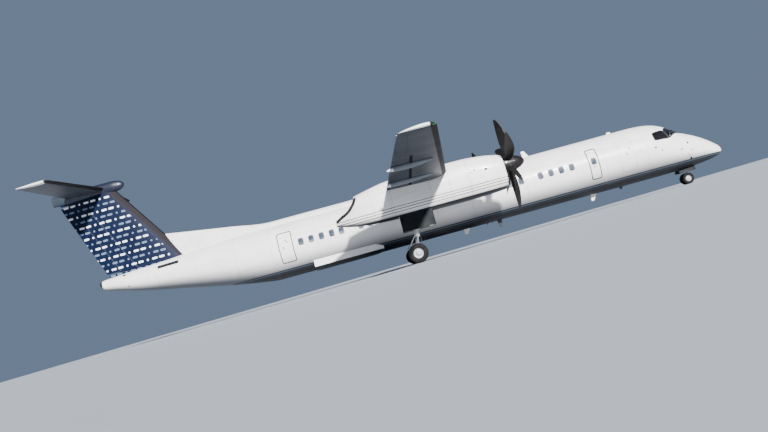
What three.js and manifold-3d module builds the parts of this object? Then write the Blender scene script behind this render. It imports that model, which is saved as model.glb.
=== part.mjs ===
// A twin-engined high-wing turboprop airliner, parked on its gear with its door closed.
// Units are millimetres. In the airframe's own axes x is forward from the nose tip, so a station,
// which is counted aft from there, is -x. y is to the left and z is up from the fuselage's axis.
import * as THREE from "three";
import { mergeVertices } from "three/addons/utils/BufferGeometryUtils.js";
import Module from "manifold-3d";

const wasm = await Module();
wasm.setup();

// Driving dimensions
const NOSE_AXIS_HEIGHT = 2060; // height of the fuselage's axis over the ground at the nose tip
const NOSE_DOWN = THREE.MathUtils.degToRad(1); // how far the parked airliner leans on its nose leg
const HULL_RADIUS = 1345;
const SEAT_GAP = 0.3; // left between solids that touch on the real airliner
const RUNNING_GAP = 9; // left round a surface that moves
const LEANING_GAP = 15; // left round the rudders instead, whose hinge lines lean
const MARGIN = 50; // by which a cutter or a stock runs past what it has to meet
const SIDES = { left: 1, right: -1 };

const PAINT = {
  white: { color: 0xf1efec, roughness: 0.35, metalness: 0.05 },
  navy: { color: 0x12233f, roughness: 0.35, metalness: 0.05 },
  glass: { color: 0x14181c, roughness: 0.08, metalness: 0.0 },
  black: { color: 0x15161a, roughness: 0.45, metalness: 0.0 },
  steel: { color: 0x9a9da0, roughness: 0.35, metalness: 0.8 },
  rubber: { color: 0x18181a, roughness: 0.85, metalness: 0.0 },
  grey: { color: 0x8d9298, roughness: 0.5, metalness: 0.2 },
};

const airliner = new THREE.Group();
airliner.rotation.y = NOSE_DOWN;

// Adds a solid to the airliner as one named mesh.
function piece(name, paint, solid) {
  const mesh = new THREE.Mesh(geometryOf(solid), new THREE.MeshStandardMaterial(PAINT[paint]));
  mesh.name = name;
  airliner.add(mesh);
  return mesh;
}

// Says where a moving body turns: a point on the axis and its direction, in the airframe's axes.
function hinge(mesh, from, to) {
  mesh.userData.hinge = { from, to };
}

function solidOf(geometry) {
  const bare = new THREE.BufferGeometry().setAttribute("position", geometry.getAttribute("position"));
  bare.setIndex(geometry.index);
  const merged = mergeVertices(bare, 1e-3);
  const kept = [];
  const corner = merged.index.array;
  for (let i = 0; i < corner.length; i += 3) {
    const [a, b, c] = [corner[i], corner[i + 1], corner[i + 2]];
    if (a !== b && b !== c && c !== a) kept.push(a, b, c);
  }
  return new wasm.Manifold(
    new wasm.Mesh({
      numProp: 3,
      vertProperties: merged.attributes.position.array,
      triVerts: new Uint32Array(kept),
    }),
  );
}

function geometryOf(solid) {
  const mesh = solid.getMesh();
  const geometry = new THREE.BufferGeometry();
  geometry.setAttribute("position", new THREE.BufferAttribute(mesh.vertProperties, 3));
  geometry.setIndex(new THREE.BufferAttribute(mesh.triVerts, 1));
  geometry.computeVertexNormals();
  return geometry;
}

const join = (first, ...rest) => rest.reduce((whole, next) => whole.add(next), first);
const cut = (whole, ...tools) => tools.reduce((left, tool) => left.subtract(tool), whole);

// Splits a flat ring into triangles, seen along whichever axis it faces most.
function capTriangles(ring) {
  const normal = new THREE.Vector3();
  ring.forEach(([x, y, z], i) => {
    const [u, v, w] = ring[(i + 1) % ring.length];
    normal.x += (y - v) * (z + w);
    normal.y += (z - w) * (x + u);
    normal.z += (x - u) * (y + v);
  });
  const size = [Math.abs(normal.x), Math.abs(normal.y), Math.abs(normal.z)];
  const away = size.indexOf(Math.max(...size));
  const keep = [0, 1, 2].filter((axis) => axis !== away);
  const flat = ring.map((p) => new THREE.Vector2(p[keep[0]], p[keep[1]]));
  return THREE.ShapeUtils.triangulateShape(flat, []);
}

// A closed body through rings that each have the same number of points.
function loft(rings) {
  const count = rings[0].length;
  const points = rings.flat();
  const faces = [];
  for (let r = 0; r + 1 < rings.length; r++) {
    for (let i = 0; i < count; i++) {
      const a = r * count + i;
      const b = r * count + ((i + 1) % count);
      faces.push([a, b, b + count], [a, b + count, a + count]);
    }
  }
  const signed = (tests) => tests.reduce((sum, [a, b, c]) => {
    const [p, q, s] = [points[a], points[b], points[c]].map((v) => new THREE.Vector3(...v));
    return sum + p.dot(q.cross(s));
  }, 0);
  const last = (rings.length - 1) * count;
  const matches = (tri, from) => {
    // A cap's edge has to run against the same edge of the side wall.
    const [a, b] = [tri[0], tri[1]];
    const step = (b - a + count) % count;
    return from === 0 ? step !== 1 : step === 1;
  };
  const capOf = (ring, from) => {
    const made = capTriangles(ring);
    const edge = made.map((t) => [t, [t[1], t[2], t[0]], [t[2], t[0], t[1]]]).flat();
    const rim = edge.find((t) => (t[1] - t[0] + count) % count === 1 || (t[0] - t[1] + count) % count === 1);
    const same = matches(rim, from);
    return made.map((t) => (same ? t : [t[0], t[2], t[1]]).map((k) => k + from));
  };
  faces.push(...capOf(rings[0], 0), ...capOf(rings[rings.length - 1], last));
  if (signed(faces) < 0) faces.forEach((f) => f.reverse());
  const geometry = new THREE.BufferGeometry();
  geometry.setAttribute("position", new THREE.Float32BufferAttribute(points.flat(), 3));
  geometry.setIndex(faces.flat());
  return solidOf(geometry);
}

// A block between two corners, given in any order.
function block(x0, x1, y0, y1, z0, z1) {
  const box = new THREE.BoxGeometry(Math.abs(x1 - x0), Math.abs(y1 - y0), Math.abs(z1 - z0));
  return solidOf(box.translate((x0 + x1) / 2, (y0 + y1) / 2, (z0 + z1) / 2));
}

// A block whose fore and aft faces are given by station.
const bay = (front, back, y0, y1, z0, z1) => block(-front, -back, y0, y1, z0, z1);

// A round bar, or a cone, from one point to another.
function rod(from, to, radius, endRadius = radius, sides = 10) {
  const [start, end] = [new THREE.Vector3(...from), new THREE.Vector3(...to)];
  const along = end.clone().sub(start);
  const bar = new THREE.CylinderGeometry(endRadius, radius, along.length(), sides, 1);
  const turn = new THREE.Quaternion().setFromUnitVectors(new THREE.Vector3(0, 1, 0), along.normalize());
  bar.applyQuaternion(turn);
  const middle = start.add(end).multiplyScalar(0.5);
  return solidOf(bar.translate(middle.x, middle.y, middle.z));
}

// A body turned about the y axis from a profile of [radius, y] pairs, with a flat side facing down.
function turned(profile, segments, at) {
  const lathe = new THREE.LatheGeometry(profile.map(([r, y]) => new THREE.Vector2(r, y)), segments);
  lathe.rotateY(Math.PI / segments - NOSE_DOWN + (segments % 4 === 0 ? 0 : Math.PI / segments));
  return solidOf(lathe.translate(...at));
}

// Reads a table of rows at any value of its first column.
function rowAt(table, value) {
  const next = table.findIndex((row) => row[0] >= value);
  if (next <= 0) return next === 0 ? [value, ...table[0].slice(1)] : table[table.length - 1];
  const [low, high] = [table[next - 1], table[next]];
  const share = (value - low[0]) / (high[0] - low[0]);
  return low.map((v, i) => v + (high[i] - v) * share);
}

const ends = (table) => [table[0][0], table.at(-1)[0]];
const rowsBetween = (table, from, to) => [
  rowAt(table, from),
  ...table.filter((row) => row[0] > from + 1 && row[0] < to - 1),
  rowAt(table, to),
];

// An upright section: half an oval above its waist and half an oval below it.
function ovalRing([station, top, waist, bottom, half], points, power, middle, grow) {
  return Array.from({ length: points }, (_, i) => {
    const angle = (2 * Math.PI * i) / points;
    const [c, s] = [Math.cos(angle), Math.sin(angle)];
    const reach = (s > 0 ? top - waist : waist - bottom) + grow;
    return [
      -station,
      middle + (half + grow) * Math.sign(c) * Math.abs(c) ** (2 / power),
      waist + reach * Math.sign(s) * Math.abs(s) ** (2 / power),
    ];
  });
}

function hull(table, from, to, { points = 28, power = 2, middle = 0, grow = 0 } = {}) {
  return loft(rowsBetween(table, from, to).map((row) => ovalRing(row, points, power, middle, grow)));
}

// Fuselage
const FUSELAGE = [
  // station, top, waist, bottom, half width
  [0, -800, -870, -940, 70],
  [60, -640, -870, -1030, 200],
  [270, -455, -840, -1115, 380],
  [670, -150, -760, -1200, 630],
  [1150, 150, -640, -1262, 840],
  [1660, 400, -500, -1305, 1010],
  [1930, 520, -430, -1317, 1080],
  [2330, 830, -330, -1328, 1160],
  [2700, 1060, -220, -1336, 1225],
  [3100, 1215, -120, -1342, 1280],
  [3600, 1305, -40, -1345, 1325],
  [4300, HULL_RADIUS, 0, -HULL_RADIUS, HULL_RADIUS],
  [22600, HULL_RADIUS, 0, -HULL_RADIUS, HULL_RADIUS],
  [23600, 1336, 59, -1219, 1278],
  [24600, 1303, 123, -1057, 1180],
  [25600, 1254, 199, -856, 1055],
  [27600, 1148, 358, -432, 790],
  [29600, 1051, 516, -19, 535],
  [30600, 984, 619, 254, 365],
  [31300, 925, 690, 455, 235],
  [31450, 870, 745, 620, 125],
];
const SECTION_JOINTS = {
  // name: [front station, back station]
  radome: [0, 1150],
  nose_section: [1150, 4000],
  front_cabin: [4000, 12700],
  rear_cabin: [12700, 22600],
  tail_section: [22600, 31300],
  tail_light: [31300, 31450],
};
const TAIL_END = FUSELAGE.at(-1)[0];
const fuselageOutside = (from, to) => hull(FUSELAGE, from, to, { grow: SEAT_GAP });

// Wing, tailplane and fin: stations of a straight-tapered surface
const WING = [
  // span, leading edge station, chord, height of the quarter chord, thickness share, incidence
  [0, 13880, 2700, 1138, 0.18, 3.6],
  [4950, 13880, 2700, 1138, 0.18, 3.6],
  [14110, 14731, 1224, 1537, 0.13, 1.5],
  [14210, 14800, 1090, 1545, 0.06, 1.5],
];
const TAILPLANE = [
  [0, 30080, 2030, 5410, 0.12, 0],
  [4560, 30672, 1508, 5410, 0.1, 0],
  [4635, 30730, 1400, 5410, 0.05, 0],
];
const FIN = [
  // height, leading edge station, chord, unused, thickness share, unused
  [900, 26713, 4176, 0, 0.12, 0],
  [5300, 29700, 2971, 0, 0.11, 0],
];
const FIN_SPAN = [900, 5300];
const CAMBER = 0.025;
const FLAP_SPLIT = 0.64;
const AILERON_HINGE = 0.74;
const ELEVATOR_HINGE = 0.64;
const FORE_RUDDER_HINGE = 0.62;
const TRAILING_RUDDER_HINGE = 0.83;
const THICKNESS_CURVE = [0.2969, -0.126, -0.3516, 0.2843, -0.1036]; // factors of the root and the powers
const EDGE_SHARE = 0.0016; // half the thickness of a trailing edge, as a share of the chord
const SKIN_POINTS = 6; // along each of a surface's two sides
const ARC_POINTS = 5;
const COVE_ROOM = 1 / Math.cos(Math.PI / (2 * ARC_POINTS)); // because a cove's facets cut its arc short
const LIP_REACH = 0.25; // how far ahead of a hinge a cove's lip is looked for, as a share of the chord
const HALVINGS = 40;

// The outline of one aerofoil between two shares of its chord. front is nose, wall or arc, and back is
// edge, wall or cove. An arc is the round nose of a surface hinged there, and a cove is what it turns in.
function outline(row, [start, end], [front, back], { camber, grow, gap }) {
  const [, , chord, , thickness] = row;
  const from = front === "wall" ? start - grow / chord : start;
  const to = back === "cove" ? end : end + grow / chord;
  const half = (u) => {
    const [root, ...powers] = THICKNESS_CURVE;
    const curve = powers.reduce((sum, factor, i) => sum + factor * u ** (i + 1), root * Math.sqrt(u));
    return chord * (5 * thickness * curve + EDGE_SHARE * u) + grow;
  };
  const mean = (u) => chord * camber * 4 * u * (1 - u);
  const side = (sign, u) => [u * chord, mean(u) + sign * half(u)];
  const lip = (hingeShare, sign) => {
    const clear = (half(hingeShare) - grow + gap) * COVE_ROOM;
    const reach = (u) =>
      Math.hypot((u - hingeShare) * chord, mean(u) + sign * (half(u) - grow) - mean(hingeShare));
    let [low, high] = [hingeShare - LIP_REACH, hingeShare];
    for (let i = 0; i < HALVINGS; i++) {
      const middle = (low + high) / 2;
      [low, high] = reach(middle) > clear ? [middle, high] : [low, middle];
    }
    return low;
  };
  const lastShares = [1, -1].map((sign) => (back === "cove" ? lip(to, sign) : to));
  const skin = (sign, last) => Array.from({ length: SKIN_POINTS + 1 }, (_, i) => {
    const share = 1 - Math.cos((Math.PI / 2) * (i / SKIN_POINTS));
    return side(sign, front === "nose" ? last * share : from + ((last - from) * i) / SKIN_POINTS);
  });
  const arc = (share, radius, first, last) => Array.from({ length: ARC_POINTS }, (_, i) => {
    const angle = first + ((last - first) * (i + 1)) / (ARC_POINTS + 1);
    return [share * chord + radius * Math.cos(angle), mean(share) + radius * Math.sin(angle)];
  });
  const upper = skin(1, lastShares[0]).reverse();
  const lower = skin(-1, lastShares[1]);
  const points = [...upper];
  if (front === "arc") points.push(...arc(from, half(from), Math.PI / 2, (3 * Math.PI) / 2));
  points.push(...(front === "nose" ? lower.slice(1) : lower));
  if (front === "nose") points[SKIN_POINTS] = [-grow, 0];
  if (back === "cove") {
    const angleOf = ([a, w]) => Math.atan2(w - mean(to), a - to * chord);
    const turn = (angle) => (angle < 0 ? angle + 2 * Math.PI : angle);
    const radius = (half(to) + gap) * COVE_ROOM;
    points.push(...arc(to, radius, turn(angleOf(lower[SKIN_POINTS])), turn(angleOf(upper[0]))));
  }
  return points;
}

// Puts an outline's point in the airframe: a wing's rows run out along y, a fin's rows run up z.
function placed(row, upright, [aft, up]) {
  const [span, lead, chord, height, , incidence] = row;
  if (upright) return [-(lead + aft), up, span];
  const angle = THREE.MathUtils.degToRad(incidence);
  const behind = aft - chord / 4;
  return [
    -(lead + chord / 4 + behind * Math.cos(angle) + up * Math.sin(angle)),
    span,
    height - behind * Math.sin(angle) + up * Math.cos(angle),
  ];
}

// A stretch of a wing-like surface, from one span to another and between two shares of the chord.
function surface(table, spans, shares, shapes, { camber = 0, upright = false, side = 1, grow = 0 } = {}) {
  const rows = rowsBetween(table, ...spans);
  const options = { camber, grow, gap: upright ? LEANING_GAP : RUNNING_GAP };
  const rings = rows.map((row) => outline(row, shares, shapes, options).map((p) => {
    const [x, y, z] = placed(row, upright, p);
    return upright ? [x, y, z] : [x, side * y, z];
  }));
  return loft(rings);
}

// The point of a surface's hinge line at one span.
function hingePoint(table, span, share, { camber = 0, upright = false, side = 1 } = {}) {
  const row = rowAt(table, span);
  const [x, y, z] = placed(row, upright, [share * row[2], row[2] * camber * 4 * share * (1 - share)]);
  return upright ? [x, y, z] : [x, side * y, z];
}

// Stub pins that stand out of both ends of a hinge line. Their bores are a little wider.
const PIN_CLEARANCE = 0.7;
const PIN_SIDES = 16;
const PIN_ROOT = 20; // how deep a pin starts inside its surface

function stubPins([from, to], { reach: [reachFrom, reachTo], radius }, clearance = 0) {
  const [a, b] = [new THREE.Vector3(...from), new THREE.Vector3(...to)];
  const along = b.clone().sub(a).normalize();
  const stub = (end, way, reach) => {
    const [root, tip] = [-PIN_ROOT * way, (reach + 2 * clearance) * way];
    const at = (distance) => end.clone().addScaledVector(along, distance).toArray();
    return rod(at(root), at(tip), radius + clearance, radius + clearance, PIN_SIDES);
  };
  return join(stub(a, -1, reachFrom), stub(b, 1, reachTo));
}

const wingPart = (spans, shares, shapes, side = 1, grow = 0) =>
  surface(WING, spans, shares, shapes, { camber: CAMBER, side, grow });
// Wing spans, counted from the middle
const INNER_FLAP = [1480, 3730];
const WING_JOINT = 5040;
const OUTER_FLAP = [5060, 10860];
const AILERON = [10900, 13850];
const AILERON_PINS = { reach: [25, 60], radius: 16 };
const FLAP_GAP = 0.0015; // ahead of a flap, as a share of the chord
const INNER_FAIRINGS = [2600];
const OUTER_FAIRINGS = [6450, 9450];
const FAIRING_PLACE = { front: 0.2, back: 1.08, drop: 0.05, rise: 0.03, under: 40, points: 8 };
const FAIRING_SHAPE = [
  // share of the length, half width, half height
  [0, 4, 6],
  [0.08, 34, 46],
  [0.25, 66, 92],
  [0.5, 78, 120],
  [0.75, 66, 100],
  [0.93, 38, 54],
  [1, 10, 14],
];

// The wing between its two joints, without its flaps.
function centreWing(grow) {
  return join(
    ...[1, -1].flatMap((side) => [
      wingPart([0, INNER_FLAP[0] - RUNNING_GAP + grow], [0, 1], ["nose", "edge"], side, grow),
      wingPart([INNER_FLAP[0] - RUNNING_GAP, INNER_FLAP[1] + RUNNING_GAP], [0, FLAP_SPLIT], ["nose", "wall"],
        side, grow),
      wingPart([INNER_FLAP[1] + RUNNING_GAP - grow, WING_JOINT + grow], [0, 1], ["nose", "edge"], side, grow),
    ]),
  );
}
const centreWingOutside = centreWing(SEAT_GAP);

// A flap track fairing: a slim pod under the wing that runs on past its trailing edge.
function trackFairing(span, side) {
  const [, lead, chord] = rowAt(WING, span);
  const { front, back, drop, rise, under, points } = FAIRING_PLACE;
  const chordLine = (station) => hingePoint(WING, span, (station - lead) / chord)[2];
  const rings = FAIRING_SHAPE.map(([share, half, tall]) => {
    const station = lead + (front + (back - front) * share) * chord;
    const middle = chordLine(station) - (drop - rise * share) * chord - under;
    return ovalRing([station, middle + tall, middle, middle - tall, half], points, 2, side * span, 0);
  });
  return loft(rings);
}

function wings() {
  const innerFairings = [];
  for (const [name, side] of Object.entries(SIDES)) {
    const shares = [FLAP_SPLIT + FLAP_GAP, 1];
    const flap = (spans, grow = 0) => wingPart(spans, shares, ["wall", "edge"], side, grow);
    piece(`flap_inner_${name}`, "white", flap(INNER_FLAP));
    piece(`flap_outer_${name}`, "white", flap(OUTER_FLAP));
    const near = (spans) => flap([spans[0] - 1, spans[1] + 1], SEAT_GAP);
    innerFairings.push(...INNER_FAIRINGS.map((y) => cut(trackFairing(y, side), near(INNER_FLAP))));
    const panel = join(
      wingPart([WING_JOINT + SEAT_GAP, OUTER_FLAP[1] + RUNNING_GAP], [0, FLAP_SPLIT], ["nose", "wall"], side),
      wingPart([OUTER_FLAP[1] + RUNNING_GAP, AILERON[0] - RUNNING_GAP], [0, 1], ["nose", "edge"], side),
      wingPart([AILERON[0] - RUNNING_GAP, AILERON[1] + RUNNING_GAP], [0, AILERON_HINGE], ["nose", "cove"],
        side),
      wingPart([AILERON[1] + RUNNING_GAP, ends(WING)[1]], [0, 1], ["nose", "edge"], side),
      ...OUTER_FAIRINGS.map((y) => cut(trackFairing(y, side), near(OUTER_FLAP))),
    );
    const line = AILERON.map((span) => hingePoint(WING, span, AILERON_HINGE, { camber: CAMBER, side }));
    const aileron = wingPart(AILERON, [AILERON_HINGE, 1], ["arc", "edge"], side);
    hinge(piece(`aileron_${name}`, "white", join(aileron, stubPins(line, AILERON_PINS))), ...line);
    piece(`wing_${name}`, "white", cut(panel, stubPins(line, AILERON_PINS, PIN_CLEARANCE)));
  }
  piece("wing_centre", "white", join(centreWing(0), ...innerFairings));
}

// Tail
const RUDDER_FOOT = 1136;
const RUDDER_TOP = 5035;
const ELEVATOR = [330, 4480];
const ELEVATOR_PINS = { reach: [60, 60], radius: 20 };
const RUDDER_PINS = { reach: [60, 125], radius: 25 };
const RUDDER_LUG = 24; // how thick the fore rudder's lugs are, which hold the trailing rudder
const LUG_SHARE = 0.02; // how far the lugs run on past the trailing rudder's hinge line
const RUDDER_DIP = 42; // left under the fore rudder, whose round nose dips as it turns
const LUG_DIP = 22;
const LUG_PINS = { reach: [LUG_DIP + RUDDER_LUG, LUG_DIP + RUDDER_LUG], radius: 18 };
const FIN_FOOT = [0.5, 0.995]; // shares of the chord that the fin's foot covers under the rudders
const BULLET_POINTS = 16;
const BULLET = [
  // station, top, waist, bottom, half width
  [29150, 5430, 5410, 5390, 20],
  [29185, 5512, 5410, 5308, 85],
  [29290, 5600, 5410, 5215, 150],
  [29480, 5665, 5410, 5150, 205],
  [29750, 5700, 5410, 5115, 240],
  [31200, 5702, 5410, 5112, 245],
  [32300, 5690, 5410, 5128, 190],
  [32830, 5672, 5410, 5150, 130],
];

const finBox = (grow) =>
  surface(FIN, FIN_SPAN, [0, FORE_RUDDER_HINGE], ["nose", "cove"], { upright: true, grow });

const elevatorLine = (side) => ELEVATOR.map((span) => hingePoint(TAILPLANE, span, ELEVATOR_HINGE, { side }));

function tailplane(grow) {
  const part = (spans, shares, shapes, side) => surface(TAILPLANE, spans, shares, shapes, { side, grow });
  const bores = [1, -1].map((side) => stubPins(elevatorLine(side), ELEVATOR_PINS, PIN_CLEARANCE));
  const whole = join(...[1, -1].flatMap((side) => [
    part([0, ELEVATOR[0] - RUNNING_GAP], [0, 1], ["nose", "edge"], side),
    part([ELEVATOR[0] - RUNNING_GAP, ELEVATOR[1] + RUNNING_GAP], [0, ELEVATOR_HINGE], ["nose", "cove"], side),
    part([ELEVATOR[1] + RUNNING_GAP, ends(TAILPLANE)[1]], [0, 1], ["nose", "edge"], side),
  ]));
  return grow > 0 ? whole : cut(whole, ...bores);
}

function tail() {
  const upright = { upright: true };
  const bullet = (grow) => hull(BULLET, ...ends(BULLET), { points: BULLET_POINTS, grow });
  const foot = surface(FIN, [FIN_SPAN[0], RUDDER_FOOT - RUDDER_DIP], FIN_FOOT, ["wall", "edge"], upright);
  const foreSpans = [RUDDER_FOOT, RUDDER_TOP];
  const aftSpans = [RUDDER_FOOT + RUDDER_LUG + LUG_DIP, RUDDER_TOP - RUDDER_LUG - LUG_DIP];
  const foreLine = foreSpans.map((span) => hingePoint(FIN, span, FORE_RUDDER_HINGE, upright));
  const aftLine = aftSpans.map((span) => hingePoint(FIN, span, TRAILING_RUDDER_HINGE, upright));
  const foreBores = stubPins(foreLine, RUDDER_PINS, PIN_CLEARANCE);
  const shell = fuselageOutside(FIN[0][1] - MARGIN, TAIL_END);
  piece("fin", "navy", cut(join(finBox(0), foot), shell, bullet(SEAT_GAP), foreBores));

  const fore = (spans, back, share) =>
    surface(FIN, spans, [FORE_RUDDER_HINGE, share], ["arc", back], upright);
  const lugShare = TRAILING_RUDDER_HINGE + LUG_SHARE;
  const foreRudder = join(
    fore([foreSpans[0], foreSpans[0] + RUDDER_LUG], "edge", lugShare),
    fore([foreSpans[0] + RUDDER_LUG, foreSpans[1] - RUDDER_LUG], "cove", TRAILING_RUDDER_HINGE),
    fore([foreSpans[1] - RUDDER_LUG, foreSpans[1]], "edge", lugShare),
    stubPins(foreLine, RUDDER_PINS),
  );
  const aftBores = stubPins(aftLine, LUG_PINS, PIN_CLEARANCE);
  hinge(piece("fore_rudder", "navy", cut(foreRudder, aftBores)), ...foreLine);
  const aftRudder = surface(FIN, aftSpans, [TRAILING_RUDDER_HINGE, 1], ["arc", "edge"], upright);
  hinge(piece("trailing_rudder", "navy", join(aftRudder, stubPins(aftLine, LUG_PINS))), ...aftLine);

  piece("tailplane", "grey", tailplane(0));
  piece("tail_bullet", "navy", cut(bullet(0), tailplane(SEAT_GAP), foreBores));
  for (const [name, side] of Object.entries(SIDES)) {
    const line = elevatorLine(side);
    const elevator = surface(TAILPLANE, ELEVATOR, [ELEVATOR_HINGE, 1], ["arc", "edge"], { side });
    hinge(piece(`elevator_${name}`, "grey", join(elevator, stubPins(line, ELEVATOR_PINS))), ...line);
  }
}

// Fairings on the fuselage
const SPINE = [
  // station, top, waist, bottom, half width
  [18500, 1565, 1150, 900, 470],
  [20500, 1572, 1150, 900, 400],
  [22500, 1580, 1150, 900, 320],
  [24500, 1880, 1150, 900, 230],
  [26300, 2165, 1100, 900, 160],
  [27900, 2430, 1050, 900, 120],
];
const WING_FAIRING = [
  [12500, 1352, 900, 760, 560],
  [13200, 1500, 900, 700, 960],
  [13900, 1600, 900, 640, 1150],
  [15900, 1622, 900, 640, 1170],
  [17200, 1604, 900, 700, 930],
  [18500, 1566, 900, 780, 480],
];
const BELLY_FAIRING = [
  [17350, -780, -1000, -1300, 840],
  [17800, -760, -1000, -1375, 1000],
  [20780, -760, -1000, -1385, 1030],
];

function fairings() {
  const shell = fuselageOutside(WING_FAIRING[0][0] - MARGIN, TAIL_END);
  const spine = hull(SPINE, SPINE[0][0] + SEAT_GAP, SPINE.at(-1)[0], { points: 16 });
  piece("dorsal_fin", "white", cut(spine, shell, finBox(SEAT_GAP)));
  const saddle = hull(WING_FAIRING, ...ends(WING_FAIRING), { points: 24, power: 2.4 });
  piece("wing_fairing", "white", cut(saddle, shell, centreWingOutside));
  const belly = hull(BELLY_FAIRING, ...ends(BELLY_FAIRING), { points: 20, power: 5 });
  piece("belly_fairing", "white", cut(belly, shell));
}

// Airstair door in the left side, hinged at its sill
const DOORWAY = { front: 4500, back: 5260, sill: -950, head: 790, depth: 0, outside: 2000 };
const DOOR_SKIN = 90;
const DOOR_STOCK = [700, 1600]; // across, what the door's panel is cut out of
const DOOR_HINGE = { y: 936, z: -966, pin: 13, bore: 13.9, knuckle: 26 };
const PIN_SEAT = { inside: 12, outside: 4, deep: 60 }; // the block under the sill that holds the pin
const KNUCKLE_BLOCK = { inside: 20, outside: 22, tall: 60 };
const KNUCKLE_ROOM = { beside: 8, inside: 60, deep: 40, under: 80, over: 20 };
const KNUCKLES = [
  // front station, back station
  [4560, 4700],
  [5060, 5200],
];
const TREADS = { count: 5, deep: 215, thick: 28, lean: 26, lowest: -640, rise: 280, inset: 60, sunk: 18 };

function doorPin(radius, from, to) {
  const { y, z } = DOOR_HINGE;
  return rod([-from, y, z], [-to, y, z], radius, radius, PIN_SIDES);
}

function airstairDoor() {
  const { front, back, sill, head } = DOORWAY;
  const panelBox = bay(front + RUNNING_GAP, back - RUNNING_GAP, ...DOOR_STOCK,
    sill + RUNNING_GAP, head - RUNNING_GAP);
  const inside = hull(FUSELAGE, front - 2 * MARGIN, back + 2 * MARGIN, { grow: -DOOR_SKIN });
  const panel = cut(hull(FUSELAGE, front - MARGIN, back + MARGIN), inside).intersect(panelBox);
  const lean = THREE.MathUtils.degToRad(TREADS.lean);
  const treads = Array.from({ length: TREADS.count }, (_, i) => {
    const box = new THREE.BoxGeometry(back - front - 2 * TREADS.inset, TREADS.thick, TREADS.deep);
    box.rotateX(lean);
    const z = TREADS.lowest + i * TREADS.rise;
    const skin = Math.sqrt((HULL_RADIUS - DOOR_SKIN) ** 2 - z ** 2);
    const out = Math.sin(lean) * (TREADS.deep / 2) - TREADS.sunk;
    return solidOf(box.translate(-(front + back) / 2, skin - out, z + Math.cos(lean) * (TREADS.deep / 2)));
  });
  const knuckles = KNUCKLES.map(([from, to]) => join(
    doorPin(DOOR_HINGE.knuckle, from, to),
    bay(from, to, DOOR_HINGE.y - KNUCKLE_BLOCK.inside, DOOR_HINGE.y + KNUCKLE_BLOCK.outside, DOOR_HINGE.z,
      DOOR_HINGE.z + KNUCKLE_BLOCK.tall),
  ));
  const pinHole = doorPin(DOOR_HINGE.bore, front - MARGIN, back + MARGIN);
  const door = piece("airstair_door", "white", cut(join(panel, ...treads, ...knuckles), pinHole));
  hinge(door, [-back, DOOR_HINGE.y, DOOR_HINGE.z], [-front, DOOR_HINGE.y, DOOR_HINGE.z]);
}

// Cockpit glass: outlines seen from the side, as [station, height]
const GLASS = [
  [3470, 700],
  [3450, 300],
  [2640, 265],
  [1990, 445],
  [1990, 480],
  [2380, 840],
  [2860, 760],
];
const GLASS_HALF_POST = 38;
const GLASS_DEPTH = 22;
const GLASS_STATIONS = [1500, 4000]; // the stretch of the nose that the glass is cut out of
const GLASS_REACH = 1500;

function glassPrism(side, depthFrom, grow) {
  const middle = GLASS.reduce(([a, b], [s, z]) => [a + s / GLASS.length, b + z / GLASS.length], [0, 0]);
  const shape = new THREE.Shape(GLASS.map(([station, z]) => {
    const reach = Math.hypot(station - middle[0], z - middle[1]);
    const share = 1 + grow / reach;
    const [aft, up] = [station - middle[0], z - middle[1]];
    return new THREE.Vector2(-(middle[0] + aft * share), middle[1] + up * share);
  }));
  const prism = new THREE.ExtrudeGeometry(shape, { depth: GLASS_REACH, bevelEnabled: false });
  prism.rotateX(Math.PI / 2);
  if (side > 0) prism.translate(0, GLASS_REACH, 0);
  prism.translate(0, side * depthFrom, 0);
  return solidOf(prism);
}

// Antennas: thin swept blades on the top and bottom centre line
const ANTENNAS = [
  // station of the foot, side up or down, height, foot length, tip length, thickness, rake
  [9200, 1, 300, 330, 150, 22, 190],
  [4950, 1, 90, 260, 160, 30, 60],
  [6500, -1, 300, 300, 140, 22, 190],
  [5150, -1, 110, 200, 110, 22, 60],
  [11350, -1, 330, 260, 120, 26, 60],
  [13000, -1, 240, 300, 150, 22, 150],
];
const ANTENNA_ROOT = 40; // how deep an antenna's foot starts under the skin
const ANTENNA_EDGE = 3; // half the thickness of its back edge
const ANTENNA_WIDEST = 0.35; // where it is thickest, as a share of its length

function antenna([station, way, tall, foot, tip, thick, rake]) {
  const ring = (length, shift, z) => [
    [-(station + shift), 0, z],
    [-(station + shift + length * ANTENNA_WIDEST), thick / 2, z],
    [-(station + shift + length), ANTENNA_EDGE, z],
    [-(station + shift + length), -ANTENNA_EDGE, z],
    [-(station + shift + length * ANTENNA_WIDEST), -thick / 2, z],
  ];
  const start = way * (HULL_RADIUS - ANTENNA_ROOT);
  return loft([ring(foot, 0, start), ring(tip, rake, way * (HULL_RADIUS + tall))]);
}

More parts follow.
